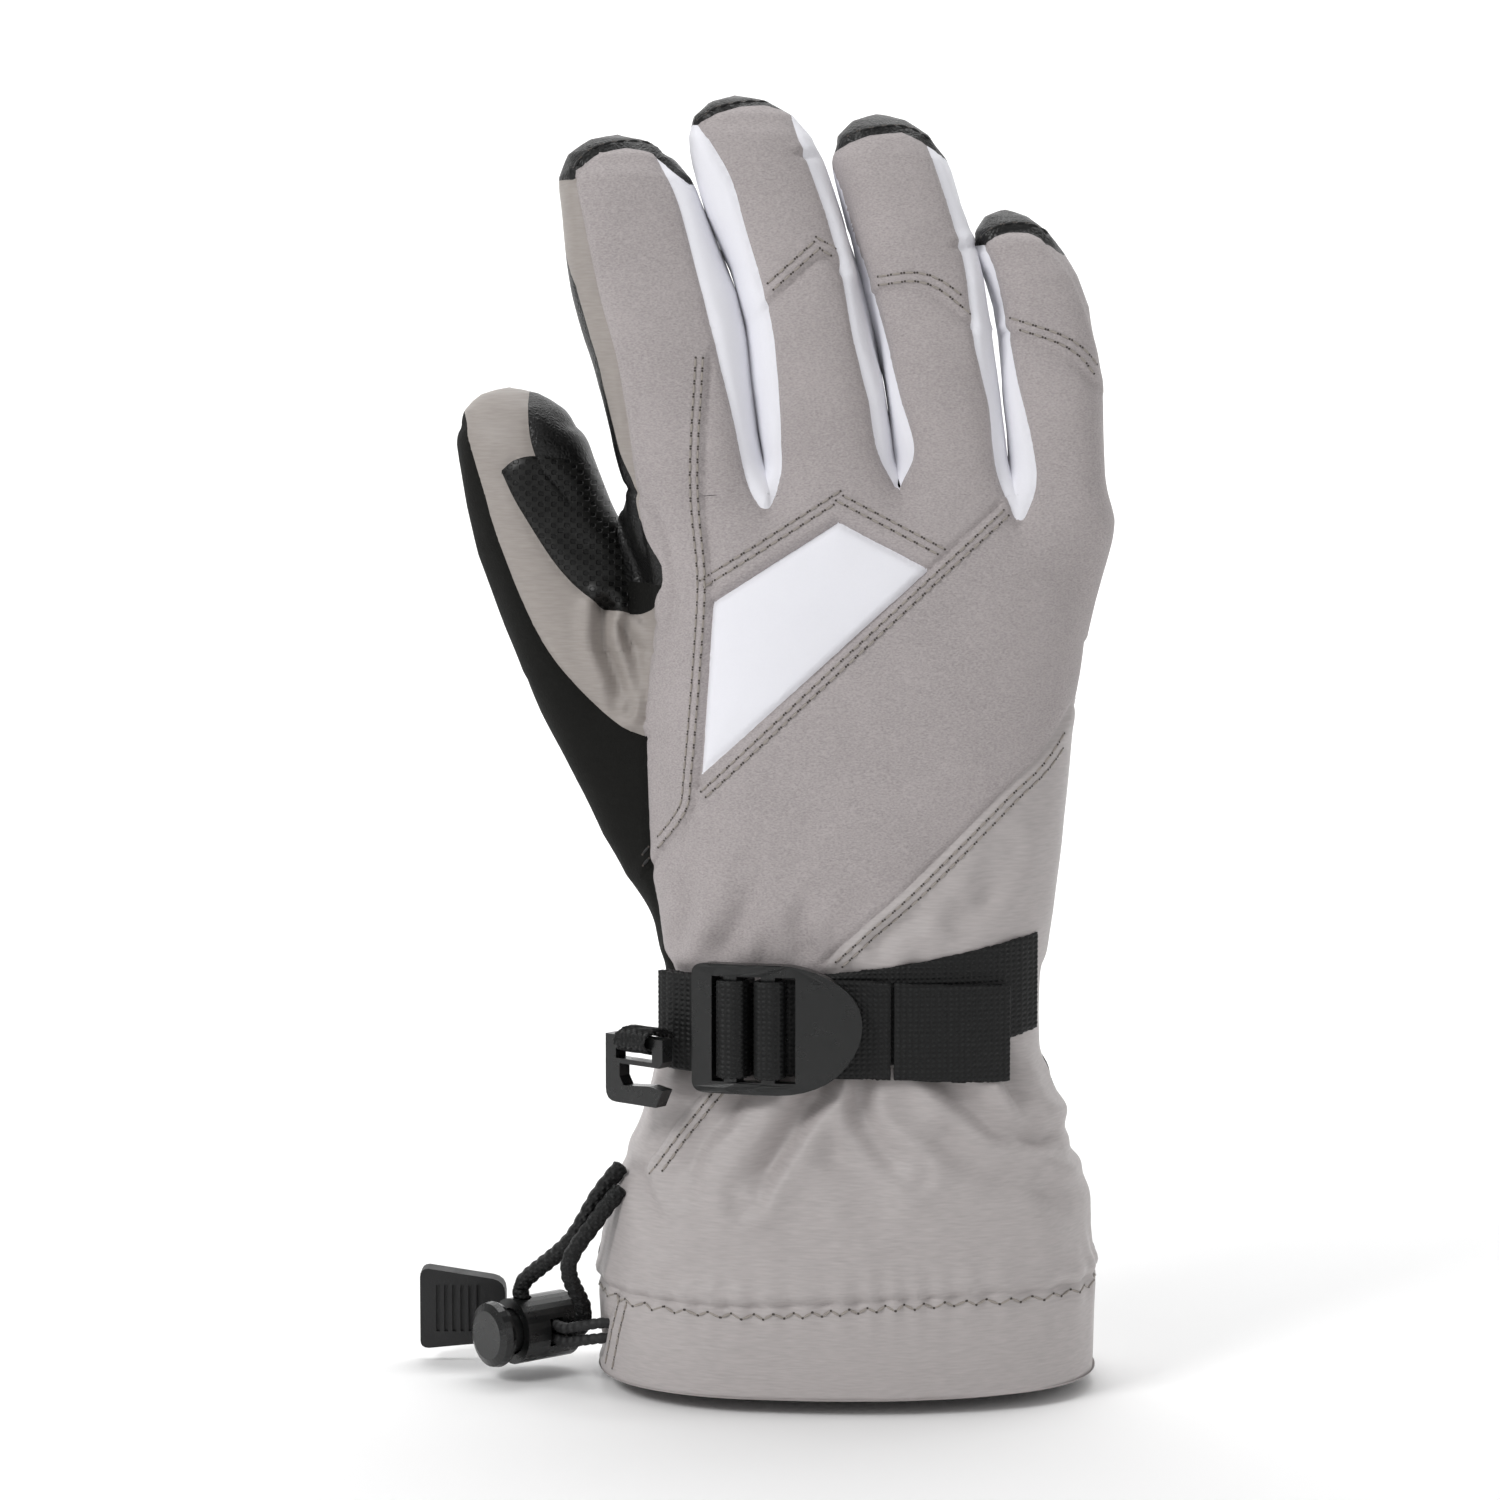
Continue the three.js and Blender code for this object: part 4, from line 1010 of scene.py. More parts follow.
def palm_region(p):
    """The palm starts half way round the hand. It comes forward above the root of the thumb."""
    x, y, z = p.T
    edge = np.interp(z, [150, SPLIT], [-0.6, 5.8])
    thumb_side = np.clip((-22 - x) / 4, 0, 1)
    return edge + (thumb_side_edge(z) - edge) * thumb_side - y


def low_diagonal_region(p):
    level = (STRAP_LOW + STRAP_HIGH) / 2
    x = np.array([-90, 10.8 - 1e-3] + [q[0] for q in LOW_DIAGONAL[::-1]] + [80])
    z = np.array([level, level] + [q[1] for q in LOW_DIAGONAL[::-1]] + [185])
    return (p[:, 2] - np.interp(p[:, 0], x, z)) * 0.7


fork_whites = [
    both(rounded(2.6, left_of(smooth(EDGES[a][1])), right_of(smooth(EDGES[b][0]))), above(190))
    for a, b in zip(DIGITS, DIGITS[1:])
]
MAIN_REGIONS = [
    ("", below(WRIST_LOW)),
    ("", below(HAND_SPLIT)),
    ("hem", hem_region),
    ("patch", both(palm_region, either(within(smooth(PALM_PATCH)), right_of(smooth(ROOT_LINE))))),
    ("thumb_patch", both(behind(9), within(smooth(THUMB_PAD + THUMB_PAD[:1])[:-1]))),
    ("palm", palm_region),
    ("saddle", both(right_of(smooth(THUMB_BLACK)), right_of(smooth(HAND_EDGE)), above(STRAP_LOW + 14))),
    ("fork", either(*fork_whites)),
    ("side", both(right_of(smooth(SIDE)), above(144))),
    ("cuff", low_diagonal_region),
    ("chevron", within(CHEVRON)),
    ("strip", right_of(smooth(STRIP))),
    ("knuckle", right_of(smooth(DIAGONAL))),
    ("backhand", everywhere),
]


def digit_regions(name):
    tube = FINGERS[name]
    left, right = EDGES[name]

    def cap(p):
        return (np.interp(p[:, 0], *np.array(CAPS[name]).T) - p[:, 2]) * 0.9

    def palm(p):
        x, y, _, b = tube.at(p[:, 2])
        edge = y + 0.45 * b
        if name == "index":
            edge = np.where(p[:, 0] < x, np.minimum(edge, thumb_side_edge(p[:, 2])), edge)
        return edge - p[:, 1]

    def outer(p):
        return tube.at(p[:, 2])[0] - p[:, 0]

    return [
        ("tip_cap", cap),
        ("palm", palm),
        ("back", both(left_of(smooth(left)), right_of(smooth(right)))),
        ("outer_sidewall", outer),
        ("thumb_sidewall", everywhere),
    ]


THUMB_REGIONS = [
    ("wipe_patch", both(within(smooth(GRIP_PATCH + GRIP_PATCH[:1])[:-1]), lambda p: p[:, 1] - 17)),
    ("tip_cap", either(both(behind(18), above(210)), both(left_of(smooth(THUMB_LEATHER)), above(186)))),
    ("palm", behind(18)),
    ("back", right_of(smooth(THUMB_BLACK))),
    ("side", everywhere),
]


# ---- The skin ----
class Skin:
    """One surface cut into named regions, displaced, and limited to its own part of the glove."""

    def __init__(self, name, field, low, high, step, regions, keep):
        p, t = surface_of(field, low, high, step)
        p = relaxed(field, p, t)
        for test in keep:
            p, t = cut_along(p, t, test)
        p, t, names = panelled(p, t, regions)
        middle = p[t].mean(1)
        kept = np.all([test(middle) < 0 for test in keep], axis=0)
        outward, _ = gradient(field, p)
        self.name = name
        self.rest = p
        self.points = p + outward * relief(p)[:, None]
        self.normals = vertex_normals(self.points, t)
        self.triangles, self.names = t[kept], names[kept]


def around(tube, low, high, margin=7):
    """The box round a tube between two heights."""
    rows = tube.rows[(tube.rows[:, 0] > low - 12) & (tube.rows[:, 0] < high + 12)]
    half = rows[:, 3:5]
    return ([*(rows[:, 1:3] - half).min(0) - margin, low], [*(rows[:, 1:3] + half).max(0) + margin, high])


def nearer_than(tube, others):
    return lambda p: tube.field(p) - np.min([other.field(p) for other in others], axis=0)


GRAIN = 0.95  # the spacing of the skin's points
HEM_LINE = 0.6  # the skin ends this far above the floor, where the hem's facing goes on
CORD_PARTS = ("drawcord", "tether", "lock", "pull")
glove_low, glove_high = box_mm(*[n for n in frame["nodes"] if not n.startswith(CORD_PARTS)])
main = Skin(
    "main", glove_field, [*glove_low[:2] - 5, -3], [*glove_high[:2] + 5, SPLIT + 4], GRAIN, MAIN_REGIONS,
    [above(HEM_LINE), below(SPLIT), either(below(THUMB_SPLIT), lambda p: hand_field(p) - thumb_field(p))],
)
low, high = around(THUMB, THUMB_SPLIT - 4, THUMB.top + 3)
thumb = Skin("thumb", digit_field(THUMB), low, high, GRAIN, THUMB_REGIONS,
             [above(THUMB_SPLIT), lambda p: THUMB.field(p) - hand_field(p)])
skins = {"main": main, "thumb": thumb}
for name, tube in FINGERS.items():
    low, high = around(tube, SPLIT - 4, tube.top + 3)
    others = [other for other in FINGERS.values() if other is not tube]
    skins[name] = Skin(name, digit_field(tube), low, high, GRAIN, digit_regions(name),
                       [above(SPLIT), nearer_than(tube, others)])

ZONES = [("low", WRIST_LOW), ("mid", HAND_SPLIT), ("top", 1e3)]
pieces = {}  # (skin, region, zone) to the triangles of one object
for skin in skins.values():
    middle = skin.rest[skin.triangles].mean(1)[:, 2]
    zone = np.full(len(middle), "all", dtype="U3")
    if skin is main:
        zone = np.array([z[0] for z in ZONES])[np.searchsorted([z[1] for z in ZONES], middle)]
    for key in sorted(set(zip(skin.names, zone))):
        pieces[(skin.name, *key)] = (skin.names == key[0]) & (zone == key[1])

# ---- Stitching ----
points, triangles, owners = [], [], []
for key, chosen in pieces.items():
    skin = skins[key[0]]
    triangles.append(skin.triangles[chosen] + sum(len(q) for q in points))
    points.append(skin.points)
    owners += [key] * int(chosen.sum())
surface = BVHTree.FromPolygons(np.concatenate(points).tolist(), np.concatenate(triangles).tolist())


def touch(x, z, side=-1):
    """Where a needle meets the back of the glove, or its palm for side 1: place, outward and piece."""
    place, outward, index, _ = surface.ray_cast(Vector((x, 120 * side, z)), Vector((0, -side, 0)))
    if place is None or outward.y * side < 0.12:
        return None
    return np.array(place), np.array(outward), owners[index]


def touch_round(angle, z):
    """Where a level ray towards the middle of the cuff meets it."""
    away = Vector((math.cos(angle), math.sin(angle), 0))
    place, outward, index, _ = surface.ray_cast(Vector((cuff_centre, 0, z)) + away * 120, -away)
    return np.array(place), np.array(outward), owners[index]


def walk(line, pitch):
    """Pairs of points along a line: the middle of each step and its direction."""
    line = np.array(line, float)
    lengths = np.hypot(*np.diff(line, axis=0).T)
    along = np.concatenate([[0], np.cumsum(lengths)])
    places = np.arange(pitch / 2, along[-1], pitch)
    for s in places:
        k = min(np.searchsorted(along, s, side="right") - 1, len(lengths) - 1)
        d = (line[k + 1] - line[k]) / lengths[k]
        yield line[k] + d * (s - along[k]), d


STITCH = {"length": 2.0, "radius": 0.27, "pitch": 2.9, "sides": 6, "hole": 0.28}
STITCH_TURN = np.arange(STITCH["sides"]) * math.tau / STITCH["sides"]
thread = {key: [] for key in pieces}  # key to the stitches: two ends and the outward direction


def sew(line, *offsets, side=-1):
    """Rows of stitches along a line, at distances to its left. None is sewn into the fingers' loose walls."""
    for offset in offsets:
        for (x, z), (dx, dz) in walk(shifted(line, offset), STITCH["pitch"]):
            half = STITCH["length"] / 2
            ends = [touch(x + dx * k, z + dz * k, side) for k in (-half, half)]
            if None in ends or abs(ends[0][0][1] - ends[1][0][1]) > 2:
                continue
            (start, out, key), (end, _, other) = ends
            if "sidewall" not in key[1] + other[1] and "fork" not in (key[1], other[1]):
                thread[key].append((start, end, out))


# lines and how far to their left the rows of stitches run
for line, offsets in (
    (smooth(DIAGONAL), (1.5, 3.1)),
    (smooth(LOW_DIAGONAL), (1.7, 3.4)),
    (smooth(STRIP), (-1.5, -3.1)),
    (CHEVRON[:3], (3.7, 5.4)),
    (CUFF_SEAM, (1.0, 2.7)),
    (HEM_SIDE, (1.0, 2.7)),
    *((smooth(CAPS[name]), (offset,)) for name, offset in zip(DIGITS, (1.5, 1.2, 1.4, 1.4))),
    (FINGER_SEAMS["middle"], (1.7, 3.6)),
    (smooth(FINGER_SEAMS["ring"]), (1.7, 3.6)),
    (smooth(FINGER_SEAMS["little"]), (1.7, 3.6)),
):
    sew(line, *offsets)
for line in (PALM_PATCH, THUMB_PAD[1:]):
    sew(smooth(line), 1.4, side=1)

# a zigzag goes all round the hem, a little below its seam
ZIGZAG = {"pitch": 0.052, "length": 0.044, "drop": 1.8, "swing": 0.5}  # the first two are radians round it
for k, angle in enumerate(np.arange(0, math.tau, ZIGZAG["pitch"])):
    ends = []
    for step in (-0.5, 0.5):
        turn = angle + step * ZIGZAG["length"]
        x = cuff_centre + cuff_radius * 1.18 * math.cos(turn)
        swing = ZIGZAG["swing"] if (k + (step > 0)) % 2 else -ZIGZAG["swing"]
        z = np.interp(x, hem_x, hem_z) - ZIGZAG["drop"] + swing
        ends.append(touch_round(turn, z))
    thread[ends[0][2]].append((ends[0][0], ends[1][0], ends[0][1]))


def stitch_mesh(stitches):
    """Each stitch is a short round-ended thread, half sunk in the cloth."""
    count = STITCH["sides"]
    profile = [(0.0, 0.35), (0.18, 0.95), (0.5, 1.1), (0.82, 0.95), (1.0, 0.35)]  # share of length and width
    points, normals, faces = [], [], []
    for start, end, out in stitches:
        side = np.cross(end - start, out)
        side /= np.linalg.norm(side)
        for share, width in profile:
            lift = 0.12 * math.sin(math.pi * share)
            middle = start + (end - start) * share + out * lift
            away = np.cos(STITCH_TURN)[:, None] * side + np.sin(STITCH_TURN)[:, None] * out
            points.append(middle + away * STITCH["radius"] * width)
            normals.append(away)
    ring = grid_faces(len(profile), count, True)[:, ::-1]
    for k in range(len(stitches)):
        faces.append(ring + k * len(profile) * count)
    return np.concatenate(points), np.concatenate(normals), np.concatenate(faces)


def hole_shade_mesh(stitches):
    """Painted shade in the needle holes: dark discs at both ends of each stitch, where the needle went
    through.
    """
    count = STITCH["sides"]
    points, normals = [], []
    for start, end, out in stitches:
        along = (end - start) / np.linalg.norm(end - start)
        side = np.cross(along, out)
        for place in (start - along * 0.15, end + along * 0.15):
            away = np.cos(STITCH_TURN)[:, None] * side + np.sin(STITCH_TURN)[:, None] * along
            points += [place + out * 0.14 + away * STITCH["hole"]]
            normals += [np.tile(out, (count, 1))]
    faces = np.arange(len(points) * count).reshape(-1, count)
    return np.concatenate(points), np.concatenate(normals), faces


# ---- Skin objects ----
REGION_FINISH = {
    "hem": NYLON, "cuff": NYLON, "patch": LEATHER, "thumb_patch": LEATHER, "palm": BLACK_FABRIC,
    "saddle": BLACK_FABRIC, "fork": WHITE, "side": SIDE_NYLON, "chevron": WHITE, "strip": SOFTSHELL,
    "knuckle": SOFTSHELL, "backhand": SOFTSHELL,
}
DIGIT_FINISH = {
    "tip_cap": LEATHER, "palm": LEATHER, "back": SOFTSHELL, "outer_sidewall": WHITE, "thumb_sidewall": WHITE,
}
THUMB_FINISH = {
    "tip_cap": LEATHER, "palm": LEATHER, "back": BLACK_FABRIC, "side": SIDE_NYLON, "wipe_patch": GRIP,
}
STANDS_FOR = {
    ("hem", "low"): ["hem_band", "hem_drawcord"],
    ("cuff", "low"): ["cuff_back_panel"],
    ("palm", "low"): ["cuff_palm_panel"],
    ("cuff", "mid"): ["wrist_side_panel"],
    ("palm", "mid"): ["wrist_gusset"],
    ("palm", "top"): ["palm_panel"],
    ("backhand", "top"): ["backhand_panel"],
    ("chevron", "top"): ["chevron_panel"],
    ("knuckle", "top"): ["knuckle_panel"],
    ("strip", "top"): ["index_side_panel"],
    ("saddle", "mid"): ["thumb_saddle_panel"],
}


def finish_of(skin, region):
    if skin == "main":
        return REGION_FINISH[region]
    if skin == "thumb":
        return THUMB_FINISH[region]
    if (skin, region) == ("index", "thumb_sidewall"):
        return SIDE_NYLON
    if (skin, region) == ("little", "outer_sidewall"):
        return SOFTSHELL
    return DIGIT_FINISH[region]


def turn_with(obj, low, high):
    """Bakes the object's transform into its mesh; it does not turn the skin, and low and high are not used.
    """
    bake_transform(obj)


def skin_object(key):
    skin_name, region, zone = key
    skin = skins[skin_name]
    triangles = skin.triangles[pieces[key]]
    used, faces = np.unique(triangles, return_inverse=True)
    faces = faces.reshape(-1, 3).tolist()
    points, normals = skin.points[used], skin.normals[used]
    index = [0] * len(faces)
    if thread[key]:
        for number, part in enumerate((stitch_mesh, hole_shade_mesh), 1):
            p, n, f = part(thread[key])
            faces += (f + len(points)).tolist()
            index += [number] * len(f)
            points, normals = np.concatenate([points, p]), np.concatenate([normals, n])
    material = finish_of(skin_name, region)
    # the second material is painted shade in the needle holes
    stitching = (BLACK_THREAD if material in (LEATHER, BLACK_FABRIC, GRIP) else THREAD, NEEDLE_HOLE_SHADE)
    obj = new_mesh(f"{skin_name}_{region}_{zone}_skin", points, faces, material, stitching, index, normals)
    if skin_name == "main":
        if zone == "low":
            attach(obj, "gauntlet")
        elif zone == "mid":
            turn_with(obj, WRIST_LOW, WRIST_HIGH)
        else:
            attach(obj, "hand")
        if (region, zone) in STANDS_FOR:
            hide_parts(*STANDS_FOR[(region, zone)])
    else:
        base = THUMB_SPLIT if skin_name == "thumb" else SPLIT
        turn_with(obj, base, base + BEND)
        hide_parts(f"{skin_name}_{region}")


for key in pieces:
    skin_object(key)


# ---- Lining ----
def lining(name, tube, inset, low, high, body, closed, *nodes):
    """A soft inner tube. Its top is rounded over if it is closed."""
    count = 72
    rings = [tube.ring(z, inset, count) for z in np.arange(low, high, 3.0)]
    if closed:
        last = rings[-1]
        middle = last.mean(0)
        for t in (0.3, 0.6, 0.85, 0.99):
            ring = middle + (last - middle) * math.cos(t * math.pi / 2)
            ring[:, 2] = last[0, 2] + 6 * math.sin(t * math.pi / 2)
            rings.append(ring)
    points = np.concatenate(rings)
    points += 0.35 * ripple(points, 6, 21)[:, None] * [1, 1, 0]
    faces = grid_faces(len(rings), count, True)[:, ::-1]
    obj = new_mesh(name, points, faces, LINING)
    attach(obj, body)
    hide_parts(*nodes)


lining("cuff_lining", BODY, 5.6, 20, CUFF_TOP + 2, "gauntlet", False, "cuff_liner")
lining("hand_lining", BODY, 5.6, CUFF_TOP + 2, KNUCKLES - 4, "hand", True, "hand_liner")
lining("thumb_lining", THUMB, 4.5, THUMB_SPLIT + 4, THUMB.top - 12, "thumb_digit", True, "thumb_liner")
for name, tube in FINGERS.items():
    lining(f"{name}_lining", tube, 4.5, SPLIT + 2, tube.top - 12, f"{name}_digit", True, f"{name}_liner")

# The hem folds under and runs up inside the mouth of the cuff. Each row is an inset and a height.
FACING = [
    (-0.2, 0.9), (0.15, 0.35), (0.9, 0.05), (2.0, 0.0), (3.0, 0.3), (3.6, 1.2), (4.1, 4), (4.5, 9),
    (4.9, 15), (5.4, 21), (6.2, 24),
]
ROUND = 160  # points in each ring
facing_points = np.concatenate([BODY.ring(z, inset, ROUND) for inset, z in FACING])
outward = facing_points[:, :2] - [cuff_centre, 0]
outward /= np.linalg.norm(outward, axis=1)[:, None]
facing_points[:, :2] += outward * 0.4 * ripple(facing_points * [1, 1, 0.3], 14, 31)[:, None]
# its first rows meet the skin's own relief
grow = relief(BODY.ring(0.9, 0, ROUND))
for row, share in ((0, 1), (1, 0.8)):
    rows = slice(row * ROUND, (row + 1) * ROUND)
    facing_points[rows, :2] += outward[rows] * grow[:, None] * share
facing = new_mesh("hem_facing", facing_points, grid_faces(len(FACING), ROUND, True)[:, ::-1], NYLON)
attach(facing, "gauntlet")


# ---- Webbing ----
WEAVE_ROWS = 1.15  # the distance between the rows of beads along a strap


def webbing(name, node, body, pitch=1.3, voxel=0.45):
    """A strap made from its CAD node: its edges are softened and ribs are woven into its faces."""
    source = frame["nodes"][node]
    obj = placed(name, source.data.copy())
    obj.data.transform(source.matrix_world)
    remesh = obj.modifiers.new("even", "REMESH")
    remesh.mode = "VOXEL"
    remesh.voxel_size = voxel * MM
    relax = obj.modifiers.new("relax", "SMOOTH")
    relax.factor, relax.iterations = 0.5, 3
    evaluated = obj.evaluated_get(bpy.context.evaluated_depsgraph_get())
    mesh = bpy.data.meshes.new_from_object(evaluated)
    obj.modifiers.clear()
    obj.data = mesh
    count = len(mesh.vertices)
    p, n = np.empty(count * 3), np.empty(count * 3)
    mesh.vertices.foreach_get("co", p)
    mesh.vertices.foreach_get("normal", n)
    p, n = p.reshape(-1, 3) / MM, n.reshape(-1, 3)
    along = np.where(np.abs(n[:, 1]) > 0.35, p[:, 0], p[:, 1])
    ribs = 0.5 + 0.5 * np.cos(math.tau * along / pitch)
    rows = 0.5 + 0.5 * np.cos(math.tau * p[:, 2] / WEAVE_ROWS)
    p += n * (0.3 * ribs * (0.4 + 0.6 * rows) - 0.15)[:, None]
    mesh.vertices.foreach_set("co", (p * MM).ravel())
    mesh.materials.clear()
    mesh.materials.append(WEBBING)
    smooth_shaded(mesh)
    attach(obj, body)
    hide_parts(node)


webbing("wrist_webbing", "wrist_strap", "gauntlet")
webbing("tail_root_webbing", "strap_tail_root", "gauntlet")
webbing("tail_end_webbing", "strap_tail_end", "strap_tail_free")
webbing("anchor_webbing", "strap_anchor", "gauntlet")
webbing("wrist_elastic", "palm_wrist_elastic", "gauntlet", pitch=2.2)
webbing("clip_tape", "clip_loop", "gauntlet", pitch=0.9, voxel=0.4)


# ---- Cords ----
LOCK_MIDDLE = np.array([-56.0, 1.0, 7.7])
LOCK_TURN = math.radians(38)
CUFF_MIDDLE = 15.0  # where the middle of the cuff stands in the places written here
SHIFT = np.array([cuff_centre - CUFF_MIDDLE, 0, 0])
TAB_LOW, TAB_HIGH = box_mm("pull_tab")
HARDWARE = {name: frame["nodes"][name] for name in ("pull_tab", "lock_barrel", "lock_button", "lock_spring")}
LOCK_PARTS = [HARDWARE[name] for name in ("lock_barrel", "lock_button", "lock_spring")]
# apart: how far above and below, or to the sides of, their middle the two cords run
SHOCK_CORD = {"diameter": 2.4, "strands": 6, "apart": 1.6}
BRAID = {"diameter": 3.6, "strands": 8, "apart": 2.2}
# where a tether leaves the cuff, turn being in degrees round it, and how its first points lie from there
TETHER = {"height": 46.0, "off": 2.4, "turn": 197, "route": [(0, 0, 0), (-5.5, -1, -7), (-12, -1.6, -17.5)]}


def lock_point(along, front, up):
    """A place beside the cord lock: towards its button, towards the front and up."""
    c, s = -math.cos(LOCK_TURN), -math.sin(LOCK_TURN)
    return LOCK_MIDDLE + [along * c - front * s, along * s + front * c, up]


def tube_mesh(route, radius, strands, sides=20, step=0.3):
    """A braided tube along a route, as points, faces and centreline: two families of strands cross on it."""
    curve = smooth(route, 24)
    lengths = np.concatenate([[0], np.cumsum(np.linalg.norm(np.diff(curve, axis=0), axis=1))])
    count = int(lengths[-1] / step)
    even = np.linspace(0, lengths[-1], count)
    line = np.column_stack([np.interp(even, lengths, curve[:, k]) for k in range(3)])
    forward = np.gradient(line, axis=0)
    forward /= np.linalg.norm(forward, axis=1)[:, None]
    side = np.cross(forward[0], (0.3, 0.2, 1))
    turn = np.arange(sides) * math.tau / sides
    rings = []
    for k in range(count):
        side = side - forward[k] * (side @ forward[k])
        side /= np.linalg.norm(side)
        up = np.cross(forward[k], side)
        lay = even[k] / radius * 0.9
        crossing = np.cos(strands / 2 * turn + lay * 2) * np.cos(strands / 2 * turn - lay * 2)
        weave = 1 + 0.13 * np.sign(crossing) * np.abs(crossing) ** 0.6
        end = min(1.0, 0.5 + min(k, count - 1 - k) * 0.25)
        away = np.cos(turn)[:, None] * side + np.sin(turn)[:, None] * up
        rings.append(line[k] + away * (radius * end * weave)[:, None])
    points = np.concatenate([line[:1], *rings, line[-1:]])
    faces = (grid_faces(count, sides, True) + 1).tolist()
    last = 1 + (count - 1) * sides
    for j in range(sides):
        faces.append([0, 1 + (j + 1) % sides, 1 + j])
        faces.append([len(points) - 1, last + j, last + (j + 1) % sides])
    return points, faces, line


def cord(name, route, make, material, far_end, fittings):
    """A free cord in place of its CAD node."""
    points, faces, line = tube_mesh(route, make["diameter"] / 2, make["strands"])
    obj = new_mesh(f"{name}_cord", points, faces, material)
    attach(obj, "gauntlet")
    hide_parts(name)
    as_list(fittings)


# the two ends of the hem's drawcord run through the lock to the pull tab
cord_low, cord_high = box_mm("hem_drawcord")
eyelet = SHIFT + [-36.6, -12.5, (cord_low[2] + cord_high[2]) / 2]
tab_y = (TAB_LOW[1] + TAB_HIGH[1]) / 2
for name, rise, far_end, fittings in (
    ("drawcord_strand_upper", SHOCK_CORD["apart"], "fitting", [HARDWARE["pull_tab"]]),
    ("drawcord_strand_lower", -SHOCK_CORD["apart"], "object", []),
):
    route = [eyelet + [-0.4, -0.2, rise], eyelet + [-5, -0.4, rise * 1.1]]
    route += [SHIFT + lock_point(0, front, rise) for front in np.linspace(11, -10, 7)]
    route += [np.array([TAB_HIGH[0] + past, tab_y, LOCK_MIDDLE[2] + rise]) for past in (1.2, -4.5)]
    cord(name, route, SHOCK_CORD, RUBBER, far_end, fittings)

# two tethers hold the lock to the cuff
start = BODY.ring(TETHER["height"], -TETHER["off"], 360)[TETHER["turn"]]
for name, side, end, far_end, fittings in (
    ("tether_upper", BRAID["apart"], [(4.8, 1, 11.5), (4.8, 0, 6.6)], "fitting", LOCK_PARTS),
    ("tether_lower", -BRAID["apart"], [(-3.6, 12.5, 6), (-4.6, 9.4, 0.4), (-4.6, 6.4, 0)], "object", []),
):
    route = [start + [x, y + side, z + side] for x, y, z in TETHER["route"]]
    cord(name, route + [SHIFT + lock_point(*q) for q in end], BRAID, WEBBING, far_end, fittings)


# ---- Hardware: the CAD's own shapes with softened edges ----
def hardware(node, material, edge=0.35):
    obj = frame["nodes"][node]
    obj.data.materials.clear()
    obj.data.materials.append(material)
    if edge:
        bevel = obj.modifiers.new("edge", "BEVEL")
        bevel.width, bevel.segments, bevel.limit_method = edge * MM, 3, "ANGLE"
        bevel.angle_limit = math.radians(35)
        bevel.harden_normals = True


hardware("ladder_buckle", PLASTIC, 0.9)
hardware("glove_clip", PLASTIC)
hardware("lock_barrel", PLASTIC, 0)
hardware("lock_button", PLASTIC, 0)
hardware("lock_spring", STEEL, 0)
hardware("pull_tab", RUBBER, 0.3)

# The cord lock's spring shortens as its button goes in, with its inner end on the barrel's floor. Here its
# inner end along the press axis is found, and the spring gets a mesh of its own.
PRESS_AXIS = (0.78801, 0.61566, 0.0)
spring = HARDWARE["lock_spring"]
coils = np.array([spring.matrix_world @ v.co for v in spring.data.vertices])
along = coils @ np.array(PRESS_AXIS)
inner_end = coils[along.argmax()].tolist()
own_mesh(spring)


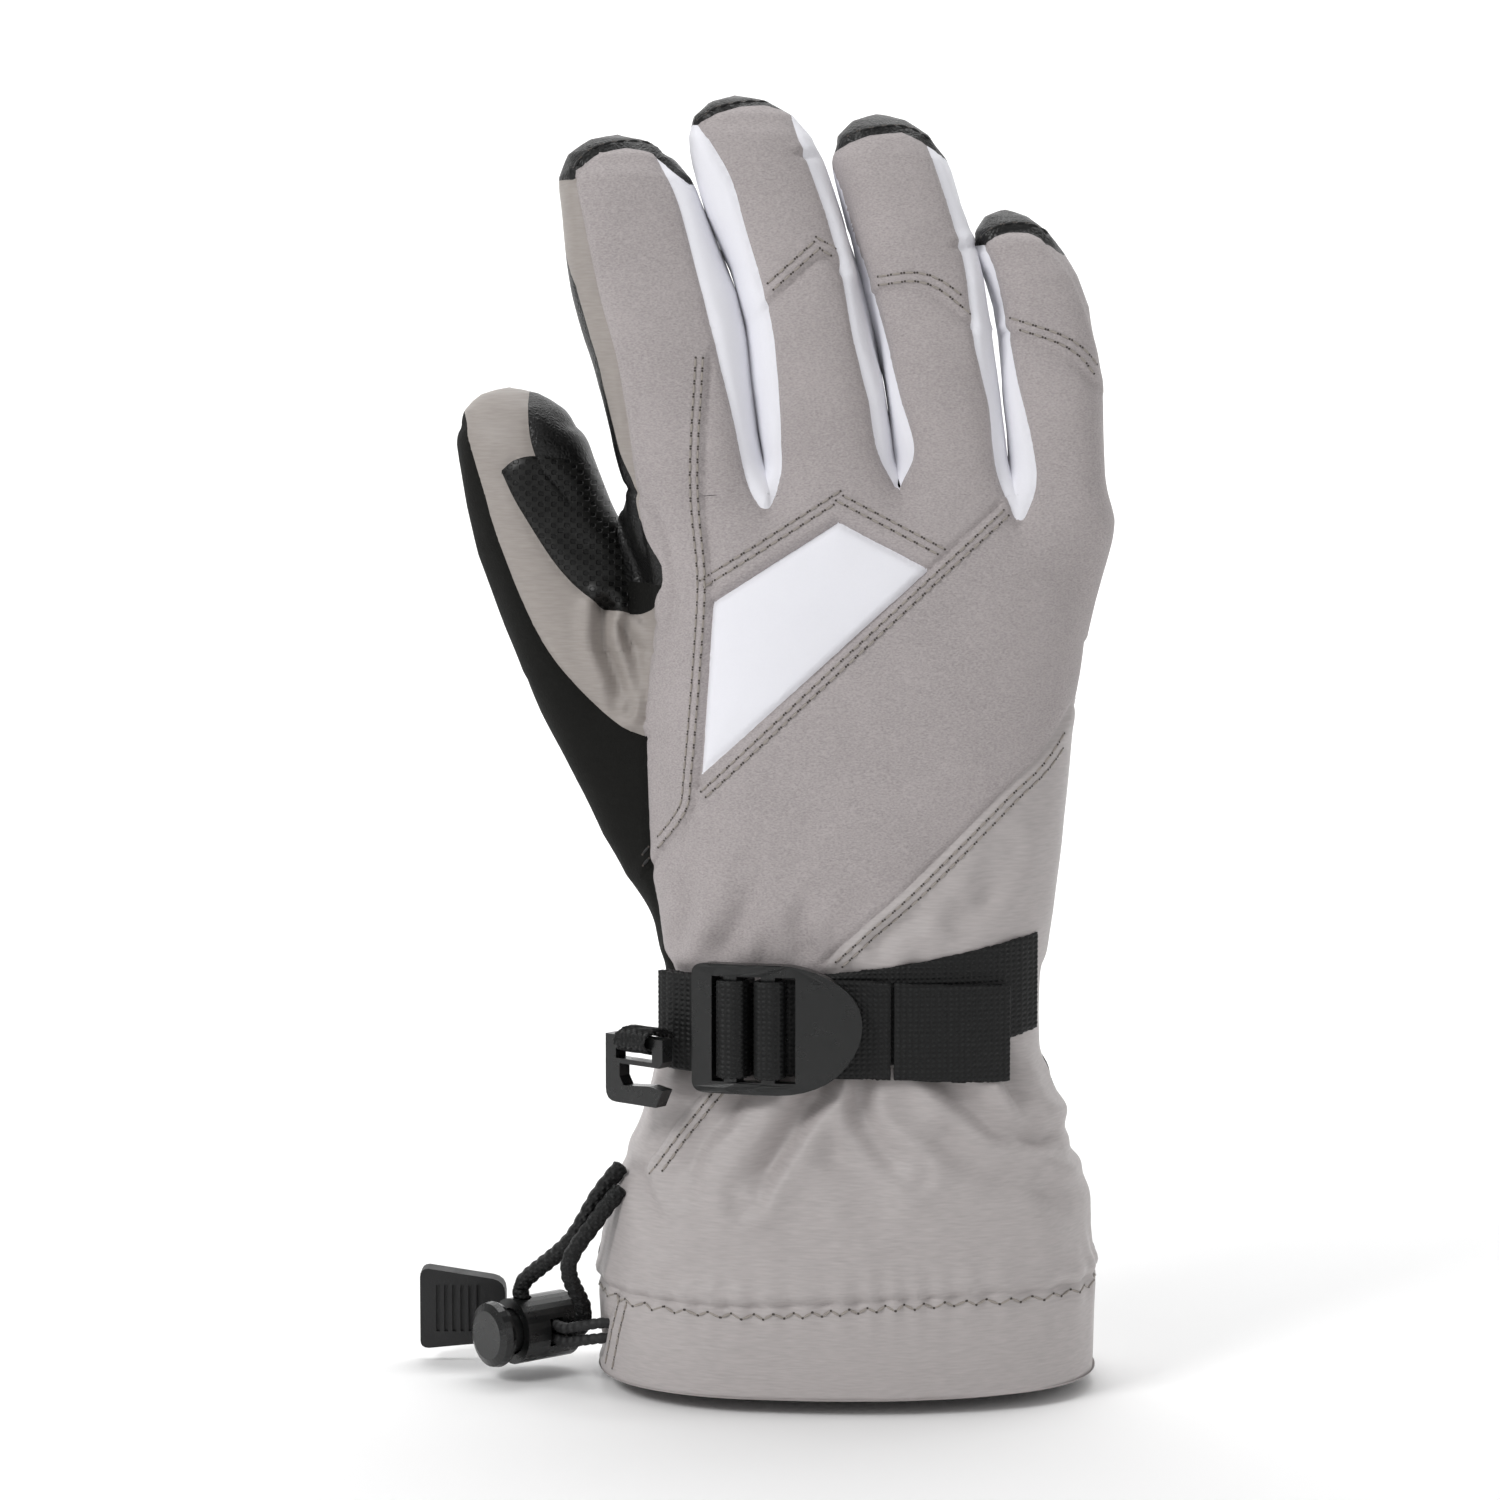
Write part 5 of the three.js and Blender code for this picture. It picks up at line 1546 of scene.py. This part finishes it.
# ---- Studio: metres from here on ----
paper = Finish("paper", (250, 250, 250), 0.9)
paper.tint(paper.noise(60), 0.99, 1.0)
SWEEP = [(-1.6, 0.0), (0.9, 0.0), (1.25, 0.04), (1.5, 0.2), (1.6, 0.5), (1.62, 1.2), (1.62, 3.0)]  # y and z
SWEEP_ACROSS = np.linspace(-2.4, 2.4, 9)
FLOOR_DROP = 0.0006  # the paper lies just below the hem
profile = smooth(SWEEP, 6)
sweep = bpy.data.meshes.new("sweep")
sweep_points = [(x, y, z) for y, z in profile for x in SWEEP_ACROSS]
sweep.from_pydata(sweep_points, [], grid_faces(len(profile), len(SWEEP_ACROSS), False).tolist())
sweep.materials.append(paper.material)
smooth_shaded(sweep)
backdrop = placed("backdrop", sweep)
backdrop.location.z = -FLOOR_DROP
backdrop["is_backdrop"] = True

MIDDLE = ((cad_low[0] + cad_high[0]) / 2, 0, (cad_low[2] + cad_high[2]) / 2)
SOFTBOXES = {  # place, target, width and height, power
    "key": ((-0.85, -0.75, 1.0), MIDDLE, (0.45, 0.45), 9),
    "fill": ((1.0, -0.8, 0.5), MIDDLE, (0.9, 0.9), 1.6),
    "top": ((0.1, 0.3, 1.3), MIDDLE, (0.8, 0.6), 4),
    "back": ((0.0, 0.7, 1.3), (0, 1.5, 0.5), (2.4, 0.8), 20),
}
for name, (place, target, size, power) in SOFTBOXES.items():
    light = bpy.data.lights.new(name, "AREA")
    light.shape, light.size, light.size_y = "RECTANGLE", *size
    light.energy = power
    softbox = placed(name, light)
    softbox.location = place
    softbox.rotation_euler = (Vector(target) - Vector(place)).to_track_quat("-Z", "Y").to_euler()

WORLD_LIGHT = 0.42
world = bpy.data.worlds.new("studio")
world.use_nodes = True
background = world.node_tree.nodes["Background"]
background.inputs["Color"].default_value = (1, 1, 1, 1)
background.inputs["Strength"].default_value = WORLD_LIGHT
bpy.context.scene.world = world
bpy.context.scene.view_settings.view_transform = "Standard"

# ---- Camera ----
# It stands level with the middle of the hand and looks slightly down, from a little less than a metre away.
ELEVATION = math.radians(5)
DISTANCE = 0.857
AIM = Vector((-0.0063, 0, 0.1419))
LENS = 90
CLIP_END = 20
camera = placed("camera", bpy.data.cameras.new("camera"))
camera.data.lens = LENS
camera.data.clip_end = CLIP_END
camera.location = AIM + Vector((0, -math.cos(ELEVATION), math.sin(ELEVATION))) * DISTANCE
camera.rotation_euler = (math.pi / 2 - ELEVATION, 0, 0)
bpy.context.scene.camera = camera

low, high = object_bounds()
{"cad": [list(cad_low), list(cad_high)], "visual": [list(low), list(high)]}
